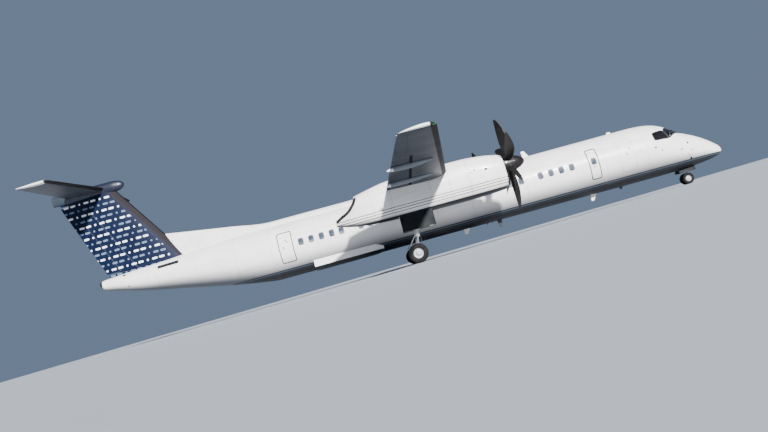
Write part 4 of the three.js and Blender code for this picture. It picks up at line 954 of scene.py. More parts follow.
CAMBER = 0.025
RUNNING_GAP = 0.009
LEANING_GAP = 0.015
WING = {"camber": CAMBER, "gap": RUNNING_GAP, "upright": False, "rows": [
    # span, leading edge station, chord, height of the quarter chord, thickness share, incidence
    (0.0, 13.88, 2.70, 1.138, 0.18, 3.6),
    (4.95, 13.88, 2.70, 1.138, 0.18, 3.6),
    (14.11, 14.731, 1.224, 1.537, 0.13, 1.5),
    (14.21, 14.80, 1.09, 1.545, 0.06, 1.5),
]}
TAILPLANE = {"camber": 0.0, "gap": RUNNING_GAP, "upright": False, "rows": [
    (0.0, 30.08, 2.03, 5.41, 0.12, 0.0),
    (4.56, 30.672, 1.508, 5.41, 0.10, 0.0),
    (4.635, 30.73, 1.40, 5.41, 0.05, 0.0),
]}
FIN = {"camber": 0.0, "gap": LEANING_GAP, "upright": True, "rows": [
    # height, leading edge station, chord, unused, thickness share, unused
    (0.90, 26.713, 4.176, 0.0, 0.12, 0.0),
    (5.30, 29.70, 2.971, 0.0, 0.11, 0.0),
]}
THICKNESS_CURVE = (0.2969, -0.126, -0.3516, 0.2843, -0.1036)
EDGE_SHARE = 0.0016
SKIN_POINTS = 22
ARC_POINTS = 12
FLAP_SPLIT = 0.64
FLAP_GAP = 0.004
AILERON_HINGE = 0.74
ELEVATOR_HINGE = 0.64
FORE_RUDDER_HINGE = 0.62
TRAILING_RUDDER_HINGE = 0.83
INNER_FLAP = (1.48, 3.73)
WING_JOINT = 5.04
OUTER_FLAP = (5.06, 10.86)
AILERON = (10.90, 13.85)
ELEVATOR = (0.33, 4.48)
WING_TIP = 14.21
TAIL_TIP = 4.635
TIP_STEP = 0.03
FIN_FOOT = 0.90
FIN_TOP = 5.30
RUDDER_FOOT = 1.136
RUDDER_TOP = 5.035
RUDDER_LUG = 0.024
LUG_DIP = 0.022
STRIP_LIFT = 0.0015


def straight(table, span):
    """A row of a straight-tapered surface at one span."""
    rows = np.array(table["rows"], float)
    return np.array([span] + [np.interp(span, rows[:, 0], rows[:, k]) for k in range(1, rows.shape[1])])


def half_thick(row, u):
    u = np.asarray(u, float)
    root, *powers = THICKNESS_CURVE
    total = root * np.sqrt(u) + sum(factor * u ** (i + 1) for i, factor in enumerate(powers))
    return row[2] * (5 * row[4] * total + EDGE_SHARE * u)


def outline(table, row, shares, shapes):
    """One aerofoil's outline between two shares of its chord, as in the CAD model but finer."""
    (start, end), (front, back) = shares, shapes
    chord, camber, gap = row[2], table["camber"], table["gap"]

    def mean(u):
        return chord * camber * 4 * np.asarray(u, float) * (1 - np.asarray(u, float))

    def side(sign, u):
        return np.column_stack((u * chord, mean(u) + sign * half_thick(row, u)))

    def lip(sign):
        """Where the skin ends at a cove: as far from the hinge as the cove's wall."""
        clear = half_thick(row, end) + gap
        low, high = end - 0.25, end
        for _ in range(40):
            u = (low + high) / 2
            reach = math.hypot((u - end) * chord, mean(u) + sign * half_thick(row, u) - mean(end))
            low, high = (u, high) if reach > clear else (low, u)
        return low

    def arc(share, radius, first, last):
        angle = np.linspace(first, last, ARC_POINTS + 2)[1:-1]
        return np.column_stack((share * chord + radius * np.cos(angle), mean(share) + radius * np.sin(angle)))

    lasts = [lip(sign) if back == "cove" else end for sign in (1, -1)]
    steps = np.linspace(0, 1, SKIN_POINTS + 1)
    shares = [last * (1 - np.cos(math.pi / 2 * steps)) if front == "nose" else start + (last - start) * steps
              for last in lasts]
    upper, lower = side(1, shares[0])[::-1], side(-1, shares[1])
    points = [upper]
    if front == "arc":
        points.append(arc(start, float(half_thick(row, start)), math.pi / 2, 3 * math.pi / 2))
    points.append(lower[1:] if front == "nose" else lower)
    if back == "cove":
        ends = [math.atan2(up - mean(end), aft - end * chord) % (2 * math.pi)
                for aft, up in (lower[-1], upper[0])]
        points.append(arc(end, float(half_thick(row, end)) + gap, *ends))
    return np.vstack(points)


def set_in(table, row, points, side):
    """Puts an outline's points in the airframe: a wing's rows run out along y, a fin's rows run up z."""
    aft, up = points.T
    span, lead, chord, height, _, incidence = row
    if table["upright"]:
        return np.column_stack((lead + aft, up, np.full(len(aft), span)))
    c, s = math.cos(math.radians(incidence)), math.sin(math.radians(incidence))
    behind = aft - chord / 4
    return np.column_stack((lead + chord / 4 + behind * c + up * s, np.full(len(aft), side * span),
                            height - behind * s + up * c))


def surface(shape, table, spans, shares, shapes, side=1, step=0.4):
    """A stretch of a wing-like surface, from one span to another and between two shares of the chord."""
    low, high = spans
    fixed = sorted({low, high} | {row[0] for row in table["rows"] if low < row[0] < high})
    rows = []
    for span in lines(*((a, b, max(1, round((b - a) / step))) for a, b in zip(fixed, fixed[1:]))):
        row = straight(table, span)
        rows.append(set_in(table, row, outline(table, row, shares, shapes), side))
    shape.grid(rows, 0, around=True, caps=True)


def on_surface(table, span, share, face=0, side=1, lift=0.0, thin=1.0, ahead=0.0):
    """A point of a surface: face 1 is its upper or left skin, -1 the other one and 0 its mean line."""
    row = straight(table, span)
    out = float(half_thick(row, share)) * thin + lift
    up = row[2] * table["camber"] * 4 * share * (1 - share) + face * out
    return set_in(table, row, np.array([[share * row[2] - ahead, up]]), side)[0]


def strip(shape, table, start, end, face, wide, side=1, finish=0, steps=8, path=None):
    """A thin strip on a surface between two points, or along a path, given as spans and chord shares."""
    if path is None:
        path = [between(start, end, share) for share in np.linspace(0, 1, steps + 1)]
    edges = ([], [])
    for i, (span, share) in enumerate(path):
        a, b = path[max(i - 1, 0)], path[min(i + 1, len(path) - 1)]
        chord = straight(table, span)[2]
        along = unit([b[0] - a[0], (b[1] - a[1]) * chord])
        for row, way in zip(edges, BOTH):
            out = (span - way * wide / 2 * along[1], share + way * wide / 2 * along[0] / chord)
            row.append(on_surface(table, *out, face, side, STRIP_LIFT))
    shape.grid(edges, finish)


FAIRING_PLACE = {"front": 0.2, "back": 1.08, "drop": 0.05, "rise": 0.03, "under": 0.04}
FAIRING_SHAPE = [
    # share of the length, half width, half height
    (0.0, 0.004, 0.006),
    (0.08, 0.034, 0.046),
    (0.25, 0.066, 0.092),
    (0.5, 0.078, 0.120),
    (0.75, 0.066, 0.100),
    (0.93, 0.038, 0.054),
    (1.0, 0.010, 0.014),
]
FAIRING_PARTS = (
    # from, to, finish
    (0.0, 0.520, 2),
    (0.525, 0.850, 2),
    (0.854, 1.0, 1),
)
FAIRING_SIDES, FAIRING_STEPS = 24, 26
FAIRING_SPANS = {"centre": (2.60,), "panel": (6.45, 9.45)}
# Dark strips under the wing along the flaps' slots: painted shade.
FLAP_SLOTS = ((1.52, 2.45), (2.75, 3.68), (5.12, 6.32), (6.58, 9.32), (9.58, 10.80))
SLOT_SHARE, SLOT_WIDE = 0.618, 0.11
LONG_SEAMS = ((0.085, 1), (0.30, 0), (0.56, 0))
RIBS = {"centre": (0.75, 2.2, 3.0, 4.4), "panel": (5.6, 6.3, 7.0, 7.7, 8.4, 9.1, 9.8, 10.5, 11.4, 12.3, 13.2)}
TANK_PANELS = {"centre": (), "panel": (5.95, 6.65, 7.35, 8.05, 8.75, 9.8, 11.0, 12.0)}
TANK_PANEL = {"half_span": 0.14, "share": 0.43, "half_share": 0.042, "line": 0.005}
SEAM_WIDE = 0.006
RIB_WIDE = 0.004
AILERON_RIBS = (11.6, 12.35, 13.1)
AILERON_TAB = (10.95, 12.0, 0.93)
TAIL_RIBS = (1.1, 2.0, 2.9, 3.8)


def track_fairing(shape, span, side):
    """A slim pod under the wing: fixed parts ahead of a seam and a white tail part."""
    row = straight(WING, span)
    _, lead, chord = row[:3]
    place, angle = FAIRING_PLACE, turns(FAIRING_SIDES)
    for low, high, finish in FAIRING_PARTS:
        rows = []
        for share in lines((low, high, max(2, round((high - low) * FAIRING_STEPS)))):
            half, tall = curve(FAIRING_SHAPE, share, 0.6)[0]
            aft = (place["front"] + (place["back"] - place["front"]) * share) * chord
            middle = set_in(WING, row, np.array([[aft, 0.0]]), side)[0][2]
            middle -= (place["drop"] - place["rise"] * share) * chord + place["under"]
            rows.append(np.column_stack((np.full(FAIRING_SIDES, lead + aft),
                                         side * span + half * np.cos(angle), middle + tall * np.sin(angle))))
        shape.grid(rows, finish, around=True, caps=True)


def wing_seams(name, sides, place, low, high):
    """Panel joints, access panels, the boot's edge, and dark strips as painted shade along the flaps' slots,
    on a stretch of wing.
    """
    shape = Shape()
    start, end = low + 0.02, high - 0.02
    for side in sides:
        for face in BOTH:
            for share, finish in LONG_SEAMS:
                strip(shape, WING, (start, share), (end, share), face, SEAM_WIDE, side, finish, 14)
            for span in RIBS[place]:
                strip(shape, WING, (span, 0.09), (span, 0.60), face, RIB_WIDE, side, 0, 10)
        for front, back in FLAP_SLOTS:
            if low < front and back < high:
                strip(shape, WING, (front, SLOT_SHARE), (back, SLOT_SHARE), -1, SLOT_WIDE, side, 2)
        for span in TANK_PANELS[place]:
            path = [(span + TANK_PANEL["half_span"] * math.cos(t),
                     TANK_PANEL["share"] + TANK_PANEL["half_share"] * math.sin(t))
                    for t in np.linspace(0, 2 * math.pi, 25)]
            strip(shape, WING, None, None, -1, TANK_PANEL["line"], side, path=path)
    piece(name, shape, [SEAM, DARK_SEAM_AND_SHADE, CAVITY_SHADE], sharp=60)


def ribs(shape, table, spans, front, side):
    """Rib lines on both faces of a flap or a control surface."""
    for face in BOTH:
        for span in spans:
            strip(shape, table, (span, front), (span, 0.985), face, RIB_WIDE, side, 1, 5)


def wing_piece(name, shape, finishes, body="airframe", slot="wing_paint"):
    piece(f"{name}_skin", shape, finishes, body=body, replaces=name, slot=slot)


def wings():
    centre = Shape()
    gaps = (INNER_FLAP[0] - RUNNING_GAP, INNER_FLAP[1] + RUNNING_GAP)
    for side in (1, -1):
        surface(centre, WING, (0.0, gaps[0]), (0, 1), ("nose", "edge"), side)
        surface(centre, WING, gaps, (0, FLAP_SPLIT), ("nose", "wall"), side)
        surface(centre, WING, (gaps[1], WING_JOINT), (0, 1), ("nose", "edge"), side)
        for span in FAIRING_SPANS["centre"]:
            track_fairing(centre, span, side)
    wing_piece("wing_centre", centre, [WING_PAINT, WHITE, FAIRING_PAINT])
    wing_seams("wing_centre_seams", (1, -1), "centre", 0.0, WING_JOINT)
    ends = (WING_JOINT + 0.002, OUTER_FLAP[1] + RUNNING_GAP,
            AILERON[0] - RUNNING_GAP, AILERON[1] + RUNNING_GAP)
    for name, side in SIDES:
        panel = Shape()
        surface(panel, WING, ends[:2], (0, FLAP_SPLIT), ("nose", "wall"), side)
        surface(panel, WING, ends[1:3], (0, 1), ("nose", "edge"), side)
        surface(panel, WING, ends[2:], (0, AILERON_HINGE), ("nose", "cove"), side)
        surface(panel, WING, (ends[3], WING_TIP), (0, 1), ("nose", "edge"), side, TIP_STEP)
        for span in FAIRING_SPANS["panel"]:
            track_fairing(panel, span, side)
        wing_piece(f"wing_{name}", panel, [WING_PAINT, WHITE, FAIRING_PAINT])
        wing_seams(f"wing_{name}_seams", (side,), "panel", WING_JOINT, AILERON[1])
        for place, (low, high) in (("inner", INNER_FLAP), ("outer", OUTER_FLAP)):
            flap = Shape()
            surface(flap, WING, (low, high), (FLAP_SPLIT + FLAP_GAP, 1), ("wall", "edge"), side)
            spans = lines((low + 0.3, high - 0.3, max(2, round((high - low) / 0.8))))
            ribs(flap, WING, spans, 0.665, side)
            wing_piece(f"flap_{place}_{name}", flap, [WING_PAINT, SEAM])
        aileron = Shape()
        surface(aileron, WING, AILERON, (AILERON_HINGE, 1), ("arc", "edge"), side)
        ribs(aileron, WING, AILERON_RIBS, 0.78, side)
        for face in BOTH:
            low, high, share = AILERON_TAB
            strip(aileron, WING, (low, share), (high, share), face, SEAM_WIDE, side, 2, 6)
        wing_piece(f"aileron_{name}", aileron, [WING_PAINT, SEAM, DARK_SEAM_AND_SHADE], f"aileron_{name}")


BULLET = [
    # station, top, waist, bottom, half width
    (29.150, 5.430, 5.410, 5.390, 0.020),
    (29.185, 5.512, 5.410, 5.308, 0.085),
    (29.290, 5.600, 5.410, 5.215, 0.150),
    (29.480, 5.665, 5.410, 5.150, 0.205),
    (29.750, 5.700, 5.410, 5.115, 0.240),
    (31.200, 5.702, 5.410, 5.112, 0.245),
    (32.300, 5.690, 5.410, 5.128, 0.190),
    (32.830, 5.672, 5.410, 5.150, 0.130),
]
BULLET_JOINT = 30.9
JOINT_HALF = 0.003


def oval(row, station, angles, power=2.0, middle=0.0, grow=0.0):
    """An upright section: half a rounded oval above its waist and half of one below it."""
    top, waist, bottom, half = row
    c, s = np.cos(angles), np.sin(angles)
    reach = np.where(s > 0, top - waist, waist - bottom) + grow
    return np.column_stack((np.full(len(angles), station),
                            middle + (half + grow) * np.sign(c) * np.abs(c) ** (2 / power),
                            waist + reach * np.sign(s) * np.abs(s) ** (2 / power)))


def tube(shape, table, stations, sides=48, power=2.0, middle=0.0, finish=0, blunt=0.5):
    rows = [oval(curve(table, s, blunt)[0], s, turns(sides), power, middle) for s in stations]
    shape.grid(rows, finish, around=True, caps=True)


def fin_and_rudders():
    fin, fore, aft = Shape(), Shape(), Shape()
    surface(fin, FIN, (FIN_FOOT, FIN_TOP), (0, FORE_RUDDER_HINGE), ("nose", "cove"))
    surface(fin, FIN, (FIN_FOOT, RUDDER_FOOT - 0.042), (0.5, 0.995), ("wall", "edge"))
    surface(fin, FIN, (5.062, 5.16), (FORE_RUDDER_HINGE + 0.01, 0.975), ("wall", "edge"))
    for face in BOTH:
        strip(fin, FIN, (1.5, 0.085), (5.05, 0.105), face, 0.008, 1, 1, 14)
    wing_piece("fin", fin, [FIN_PAINT, DARK_SEAM_AND_SHADE], slot="navy_paint")
    surface(fore, FIN, (RUDDER_FOOT, RUDDER_TOP), (FORE_RUDDER_HINGE, TRAILING_RUDDER_HINGE), ("arc", "cove"))
    lug = (FORE_RUDDER_HINGE + 0.02, TRAILING_RUDDER_HINGE + 0.02)
    for spans in ((RUDDER_FOOT, RUDDER_FOOT + RUDDER_LUG), (RUDDER_TOP - RUDDER_LUG, RUDDER_TOP)):
        surface(fore, FIN, spans, lug, ("wall", "edge"))
    wing_piece("fore_rudder", fore, [FIN_PAINT], "fore_rudder", "navy_paint")
    clear = RUDDER_LUG + LUG_DIP
    surface(aft, FIN, (RUDDER_FOOT + clear, RUDDER_TOP - clear), (TRAILING_RUDDER_HINGE, 1), ("arc", "edge"))
    wing_piece("trailing_rudder", aft, [FIN_PAINT], "trailing_rudder", "navy_paint")


def tailplane():
    plane, seams, bullet = Shape(), Shape(), Shape()
    low, high = ELEVATOR[0] - RUNNING_GAP, ELEVATOR[1] + RUNNING_GAP
    for side in (1, -1):
        surface(plane, TAILPLANE, (0.0, low), (0, 1), ("nose", "edge"), side)
        surface(plane, TAILPLANE, (low, high), (0, ELEVATOR_HINGE), ("nose", "cove"), side)
        surface(plane, TAILPLANE, (high, TAIL_TIP), (0, 1), ("nose", "edge"), side, TIP_STEP)
        for face in BOTH:
            strip(seams, TAILPLANE, (0.3, 0.09), (4.45, 0.115), face, SEAM_WIDE, side, 1, 12)
            for span in TAIL_RIBS:
                strip(seams, TAILPLANE, (span, 0.13), (span, 0.58), face, RIB_WIDE, side, 0, 6)
    wing_piece("tailplane", plane, [TAILPLANE_PAINT], slot="grey_paint")
    piece("tailplane_seams", seams, [SEAM, DARK_SEAM_AND_SHADE], sharp=60)
    tube(bullet, BULLET, lines((29.15, 29.20, 4), (29.20, 29.75, 12), (29.75, BULLET_JOINT - JOINT_HALF, 10)))
    tube(bullet, BULLET, lines((BULLET_JOINT + JOINT_HALF, 32.80, 16), (32.80, 32.83, 2)), finish=1)
    wing_piece("tail_bullet", bullet, [BULLET_PAINT, BULLET_STEEL], slot="navy_paint")
    for name, side in SIDES:
        elevator = Shape()
        surface(elevator, TAILPLANE, ELEVATOR, (ELEVATOR_HINGE, 1), ("arc", "edge"), side)
        ribs(elevator, TAILPLANE, TAIL_RIBS, 0.69, side)
        wing_piece(f"elevator_{name}", elevator, [TAILPLANE_PAINT, SEAM], f"elevator_{name}", "grey_paint")


# Fairings on the fuselage

SPINE = [
    # station, top, waist, bottom, half width
    (18.5, 1.565, 1.15, 0.90, 0.470),
    (20.5, 1.572, 1.15, 0.90, 0.400),
    (22.5, 1.580, 1.15, 0.90, 0.320),
    (24.5, 1.880, 1.15, 0.90, 0.230),
    (26.3, 2.165, 1.10, 0.90, 0.160),
    (27.9, 2.430, 1.05, 0.90, 0.120),
]
WING_FAIRING = [
    # station, top, waist, bottom, half width
    (12.5, 1.352, 0.90, 0.760, 0.560),
    (13.2, 1.500, 0.90, 0.700, 0.960),
    (13.9, 1.600, 0.90, 0.640, 1.150),
    (15.9, 1.622, 0.90, 0.640, 1.170),
    (17.2, 1.604, 0.90, 0.700, 0.930),
    (18.5, 1.566, 0.90, 0.780, 0.480),
]
BELLY_FAIRING = [
    # station, top, waist, bottom, half width
    (17.35, -0.780, -1.00, -1.300, 0.840),
    (17.80, -0.760, -1.00, -1.375, 1.000),
    (20.78, -0.760, -1.00, -1.385, 1.030),
]
FAIRINGS = [
    # piece, CAD node, table, stretches, sides, squareness, finish
    ("dorsal_spine", "dorsal_fin", SPINE, [(18.503, 27.9, 48)], 40, 2.0, WHITE),
    ("wing_saddle", "wing_fairing", WING_FAIRING, [(12.5, 18.5, 48)], 72, 2.4, WHITE),
    ("belly_tray", "belly_fairing", BELLY_FAIRING, [(17.35, 17.8, 8), (17.8, 20.78, 20)], 72, 5.0,
     TRAY_PAINT),
]


def fairings():
    for name, node, table, stretches, sides, power, finish in FAIRINGS:
        shape = Shape()
        tube(shape, table, lines(*stretches), sides, power, blunt=1.0)
        piece(name, shape, [finish], replaces=node, slot="white_paint")


# Nacelles

NACELLE_Y = 4.395
NACELLE = [
    # station, top, waist, bottom, half width
    (11.40, 1.150, 0.50, -0.150, 0.450),
    (11.47, 1.255, 0.50, -0.215, 0.545),
    (11.75, 1.340, 0.50, -0.250, 0.590),
    (12.40, 1.450, 0.50, -0.285, 0.625),
    (13.20, 1.512, 0.50, -0.300, 0.635),
    (15.20, 1.525, 0.48, -0.290, 0.635),
    (16.60, 1.450, 0.47, -0.245, 0.610),
    (17.40, 1.315, 0.45, -0.200, 0.545),
    (18.08, 1.170, 0.42, -0.130, 0.450),
    (18.60, 1.040, 0.35, -0.020, 0.340),
    (19.03, 0.900, 0.25, 0.090, 0.215),
]
NACELLE_STEPS = [(11.40, 11.47, 6), (11.47, 11.75, 8), (11.75, 13.2, 12), (13.2, 16.6, 18), (16.6, 19.03, 26)]
EXHAUST = [
    # station, top, waist, bottom, half width
    (17.30, 1.130, 0.76, 0.420, 0.330),
    (18.08, 1.100, 0.70, 0.300, 0.380),
    (18.60, 0.975, 0.52, 0.190, 0.285),
    (19.20, 0.820, 0.40, 0.160, 0.150),
]
INTAKE = [
    # station, top, waist, bottom, half width
    (11.30, 0.215, 0.03, -0.125, 0.370),
    (11.50, 0.190, 0.03, -0.110, 0.350),
    (12.60, 0.420, 0.06, -0.140, 0.330),
]
INTAKE_POWER = 2.8
TUNNELS = [
    # name, table, squareness, finish
    ("exhaust", EXHAUST, 2.2, HOT_METAL),
    ("intake", INTAKE, INTAKE_POWER, CAVITY_SHADE),
]
SCARF = [
    # station, height of the nacelle's cut-away tail
    (17.90, 1.50),
    (18.03, 1.15),
    (18.11, 0.95),
    (18.23, 0.80),
    (18.43, 0.62),
    (18.75, 0.47),
    (19.00, 0.35),
    (19.20, 0.30),
]
SCARF_CUT = {"front": 17.90, "back": 19.20, "top": 1.6, "half": 0.9}
WELL = {"front": 14.85, "back": 16.35, "half": 0.40, "roof": 0.18, "below": -0.90}


def solid(name, shape, finish):
    """A closed mesh that isn't a piece yet."""
    return linked(name, cleaned(name, shape, [finish], 1e-5))


def carved(body, cutters):
    """Cuts solids out of another one. The cut faces keep the cutters' finishes."""
    for cutter in cutters:
        modifier = body.modifiers.new(cutter.name, "BOOLEAN")
        modifier.operation = "DIFFERENCE"
        modifier.solver = "EXACT"
        modifier.material_mode = "TRANSFER"
        modifier.object = cutter
    graph = bpy.context.evaluated_depsgraph_get()
    mesh = bpy.data.meshes.new_from_object(body.evaluated_get(graph))
    for obj in [body, *cutters]:
        bpy.data.objects.remove(obj)
    return mesh


def scarf_line(front, back):
    """The edge of the cut-away tail as stations and heights."""
    return [(s, float(curve(SCARF, s)[0][0])) for s in np.linspace(front, back, 40)]


def nacelle(name, side):
    middle = side * NACELLE_Y
    body, scarf, well = Shape(), Shape(), Shape()
    tube(body, NACELLE, lines(*NACELLE_STEPS), 72, 2.5, middle)
    cutters = []
    for label, table, power, finish in TUNNELS:
        tunnel = Shape()
        tube(tunnel, table, lines((table[0][0], table[-1][0], 24)), 48, power, middle, blunt=1.0)
        cutters.append(solid(f"{label}_cutter", tunnel, finish))
    front, back, top, half = SCARF_CUT.values()
    path = [*scarf_line(front, back), (back, top), (front, top)]
    scarf.grid([[(s, middle + way * half, z) for s, z in path] for way in BOTH], around=True, caps=True)
    cutters.append(solid("scarf_cutter", scarf, HOT_METAL))
    slab(well, (WELL["front"], middle - WELL["half"], WELL["below"]),
         (WELL["back"], middle + WELL["half"], WELL["roof"]), 0.03)
    cutters.append(solid("well_cutter", well, BAY_PAINT))
    mesh = carved(solid(f"nacelle_{name}_body", body, NACELLE_PAINT), cutters)
    ridden(f"nacelle_{name}_skin", mesh, replaces=f"nacelle_{name}", slot="white_paint")


SCARF_BAND = 0.13
INTAKE_LIP = [
    # station, how far outside the intake
    (11.46, 0.004),
    (11.43, 0.026),
    (11.39, 0.034),
    (11.365, 0.028),
    (11.355, 0.012),
    (11.365, -0.004),
    (11.40, -0.012),
    (11.47, -0.010),
]
NACELLE_SEAMS = (11.76, 13.05, 13.86, 14.78, 16.45, 17.38)
NACELLE_HATCHES = [
    # front, back, low angle, high angle on the outer side
    (11.84, 13.00, 18.0, 62.0),
    (11.84, 13.00, -52.0, 12.0),
    (13.92, 14.70, -40.0, 20.0),
    (16.55, 17.28, -35.0, 25.0),
]
NACELLE_DEGREE = 0.0169  # metres along the nacelle's skin to a degree at its sides
NACELLE_PORTS = [
    # station, angle up from the outer side in degrees, radius
    (12.24, 13.0, 0.055),
    (12.74, 16.0, 0.032),
    (12.92, 13.0, 0.024),
    (14.35, -26.0, 0.016),
    (13.45, -24.0, 0.016),
]


def on_nacelle(side, station, degrees, lift):
    """Points of the nacelle's skin. The angle starts at its outer side and goes up."""
    station, degrees = np.broadcast_arrays(np.asarray(station, float), np.asarray(degrees, float))
    top, waist, bottom, half = curve(NACELLE, station.ravel(), 0.5).T
    angle = np.radians(degrees.ravel())
    c, s = np.cos(angle), np.sin(angle)
    reach = np.where(s > 0, top - waist, waist - bottom)
    y = half * np.sign(c) * np.abs(c) ** 0.8
    z = reach * np.sign(s) * np.abs(s) ** 0.8
    out = np.column_stack((np.sign(y) * np.abs(y / half) ** 1.5 / half,
                           np.sign(z) * np.abs(z / reach) ** 1.5 / reach))
    out /= np.linalg.norm(out, axis=1)[:, None]
    return np.column_stack((station.ravel(), side * (NACELLE_Y + y + lift * out[:, 0]),
                            waist + z + lift * out[:, 1]))


def nacelle_angle(station, z):
    """The angle of the nacelle's skin at a height, on its outer side."""
    top, waist, bottom, _ = curve(NACELLE, station, 0.5).T
    share = np.clip(np.abs(z - waist) / np.where(z > waist, top - waist, waist - bottom), 0, 1)
    return np.degrees(np.arcsin(share ** 1.25)) * np.sign(z - waist)


def nacelle_strip(shape, side, station, degrees, half_station=0.0, half_degrees=0.0, lift=0.0016):
    """A thin strip round a nacelle or along it."""
    shape.grid([on_nacelle(side, station + way * half_station, degrees + way * half_degrees, lift)
                for way in BOTH])


def nacelle_seams(shape, side):
    """Joints round a nacelle, and the outlines of its hatches on both sides."""
    for station in NACELLE_SEAMS:
        nacelle_strip(shape, side, station, np.linspace(-90, 270, 110), 0.0035, lift=0.0018)
    for front, back, low, high in NACELLE_HATCHES:
        for start, end in ((low, high), (180 - high, 180 - low)):
            for station in (front, back):
                nacelle_strip(shape, side, station, np.linspace(start, end, 24), 0.003)
            for angle in (start, end):
                nacelle_strip(shape, side, np.linspace(front, back, 12), angle, half_degrees=0.28)


def nacelle_details(name, side):
    seams, lip = Shape(), Shape()
    for station, degrees, radius in NACELLE_PORTS:
        for face in (1, -1):
            disc(seams, radius, lambda aft, up, lift: on_nacelle(
                side, station + aft, sided(degrees + up / NACELLE_DEGREE, face), lift), 2)
    nacelle_seams(seams, side)
    scarf = np.array(scarf_line(18.02, 19.02))
    along = np.gradient(scarf, axis=0)
    along /= np.linalg.norm(along, axis=1)[:, None]
    inward = np.column_stack((along[:, 1], -along[:, 0]))
    for face in (1, -1):
        rows = []
        for deep in np.linspace(0.0, SCARF_BAND, 7):
            s, z = (scarf + inward * deep).T
            rows.append(on_nacelle(side, s, sided(nacelle_angle(s, z), face), 0.003))
        seams.grid(rows, 1)
    lip.grid([oval(curve(INTAKE, s)[0], s, turns(64), INTAKE_POWER, side * NACELLE_Y, grow)
              for s, grow in INTAKE_LIP], around=True)
    piece(f"intake_{name}_lip", lip, [LAMP_BLACK])
    piece(f"nacelle_{name}_seams", seams, [SEAM, HOT_METAL, DARK_SEAM_AND_SHADE], sharp=60)


# Propellers

HUB_HEIGHT = 0.79
SPINNER = {"tip": 10.44, "back": 11.372, "radius": 0.372}
BLADE = [
    # radius, chord, thickness, pitch from the disc, how far the chord's middle is swept
    (0.30, 0.200, 0.150, 72.0, 0.0),
    (0.80, 0.375, 0.058, 60.0, 0.026),
    (1.15, 0.440, 0.040, 52.0, 0.028),
    (1.50, 0.405, 0.028, 46.0, 0.002),
    (1.80, 0.285, 0.018, 42.0, -0.052),
    (1.98, 0.160, 0.011, 40.0, -0.110),
    (2.055, 0.060, 0.006, 39.0, -0.150),
]
BLADE_DISC = 11.126
BLADE_COUNT = 6
BLADE_POINTS = 16
BOOT_REACH = (0.75, 1.97)
BOOT_SHARE = 0.09
CUFF = [(0, 0.10), (0.07, 0.10), (0.08, 0.088), (0.1, 0.085)]
CUFF_FOOT = 0.30
SPINNER_SEAMS = (10.88, 11.33)
SCREWS = {"station": 10.94, "count": 24, "sunk": 0.004}
SCREW = [(0, 0.009), (0.005, 0.009), (0.007, 0.006)]


def lens(points):
    """A thin section's points: their shares of the chord and the side each is on."""
    share = (1 - np.cos(np.linspace(0, math.pi, points + 1))) / 2
    return (np.concatenate((share, share[-2:0:-1])),
            np.concatenate((np.ones(points + 1), -np.ones(points - 1))))


def blade(shape, middle, turn):
    c_turn, s_turn = math.cos(turn), math.sin(turn)
    around, sign = lens(BLADE_POINTS)
    thick_at = np.sqrt(np.maximum(0.0, 1 - (2 * around - 1) ** 2)) * (1 - 0.35 * (around - 0.4))
    nose = [k for k, share in enumerate(around) if share < BOOT_SHARE]
    nose = [k for k in nose if k > BLADE_POINTS] + [k for k in nose if k <= BLADE_POINTS]
    rows, boots = [], []
    for radius in lines((0.30, 0.50, 5), (0.50, 1.80, 20), (1.80, 2.02, 10), (2.02, 2.055, 4)):
        chord, thick, pitch, sweep = curve(BLADE, radius)[0]
        c, s = math.cos(math.radians(pitch)), math.sin(math.radians(pitch))
        along = chord * (0.5 - around) + sweep
        face = sign * thick * thick_at / 2
        x, y, z = along * s + face * c, -along * c + face * s, np.full(len(around), radius)
        row = np.column_stack((BLADE_DISC - x, middle + y * c_turn - z * s_turn,
                               HUB_HEIGHT + y * s_turn + z * c_turn))
        rows.append(row)
        if BOOT_REACH[0] <= radius <= BOOT_REACH[1]:
            out = row[nose] - row.mean(axis=0)
            out /= np.linalg.norm(out, axis=1)[:, None]
            boots.append(row[nose] + out * 0.0012)
    shape.grid(rows, 0, around=True, caps=True)
    shape.grid(boots, 1)


def spinner_radius(station):
    left = 1 - (station - SPINNER["tip"]) / (SPINNER["back"] - SPINNER["tip"])
    return SPINNER["radius"] * max(0.004, (1 - left ** 2.2) ** 0.55)


def propeller(name, side):
    middle = side * NACELLE_Y
    hub = np.array([BLADE_DISC, middle, HUB_HEIGHT])
    blades, cone = Shape(), Shape()
    for turn in turns(BLADE_COUNT):
        blade(blades, middle, turn)
        out = np.array([0.0, -math.sin(turn), math.cos(turn)])
        turned(blades, hub + out * CUFF_FOOT, hub + out * (CUFF_FOOT + 0.1), CUFF, 2, 28)
    piece(f"propeller_{name}_blades", blades, [PROPELLER, BOOT, CUFF_METAL], body=f"propeller_{name}",
          replaces=f"propeller_{name}", slot="propeller_black")
    tip, back = SPINNER["tip"], SPINNER["back"]
    spots = [tip + (back - tip) * share ** 1.9 for share in np.linspace(0, 1, 40)]
    turned(cone, (tip, middle, HUB_HEIGHT), (back, middle, HUB_HEIGHT),
           [(spot - tip, spinner_radius(spot)) for spot in spots], 0, 72)
    for spot in SPINNER_SEAMS:
        at = spinner_radius(spot)
        turned(cone, (spot, middle, HUB_HEIGHT), (spot + 0.006, middle, HUB_HEIGHT),
               [(0, at - 0.01), (0.0, at + 0.0015), (0.006, at + 0.0025), (0.006, at - 0.01)], 1, 72)
    at = spinner_radius(SCREWS["station"])
    for turn in turns(SCREWS["count"]) + math.pi / SCREWS["count"]:
        out = np.array([0.0, math.cos(turn), math.sin(turn)])
        foot = np.array([SCREWS["station"], middle, HUB_HEIGHT]) + out * (at - SCREWS["sunk"])
        turned(cone, foot, foot + out, SCREW, 2, 10)
    piece(f"spinner_{name}_shell", cone, [SPINNER_PAINT, DARK_SEAM_AND_SHADE, STEEL], body=f"propeller_{name}",
          replaces=f"spinner_{name}", slot="propeller_black")


# Landing gear

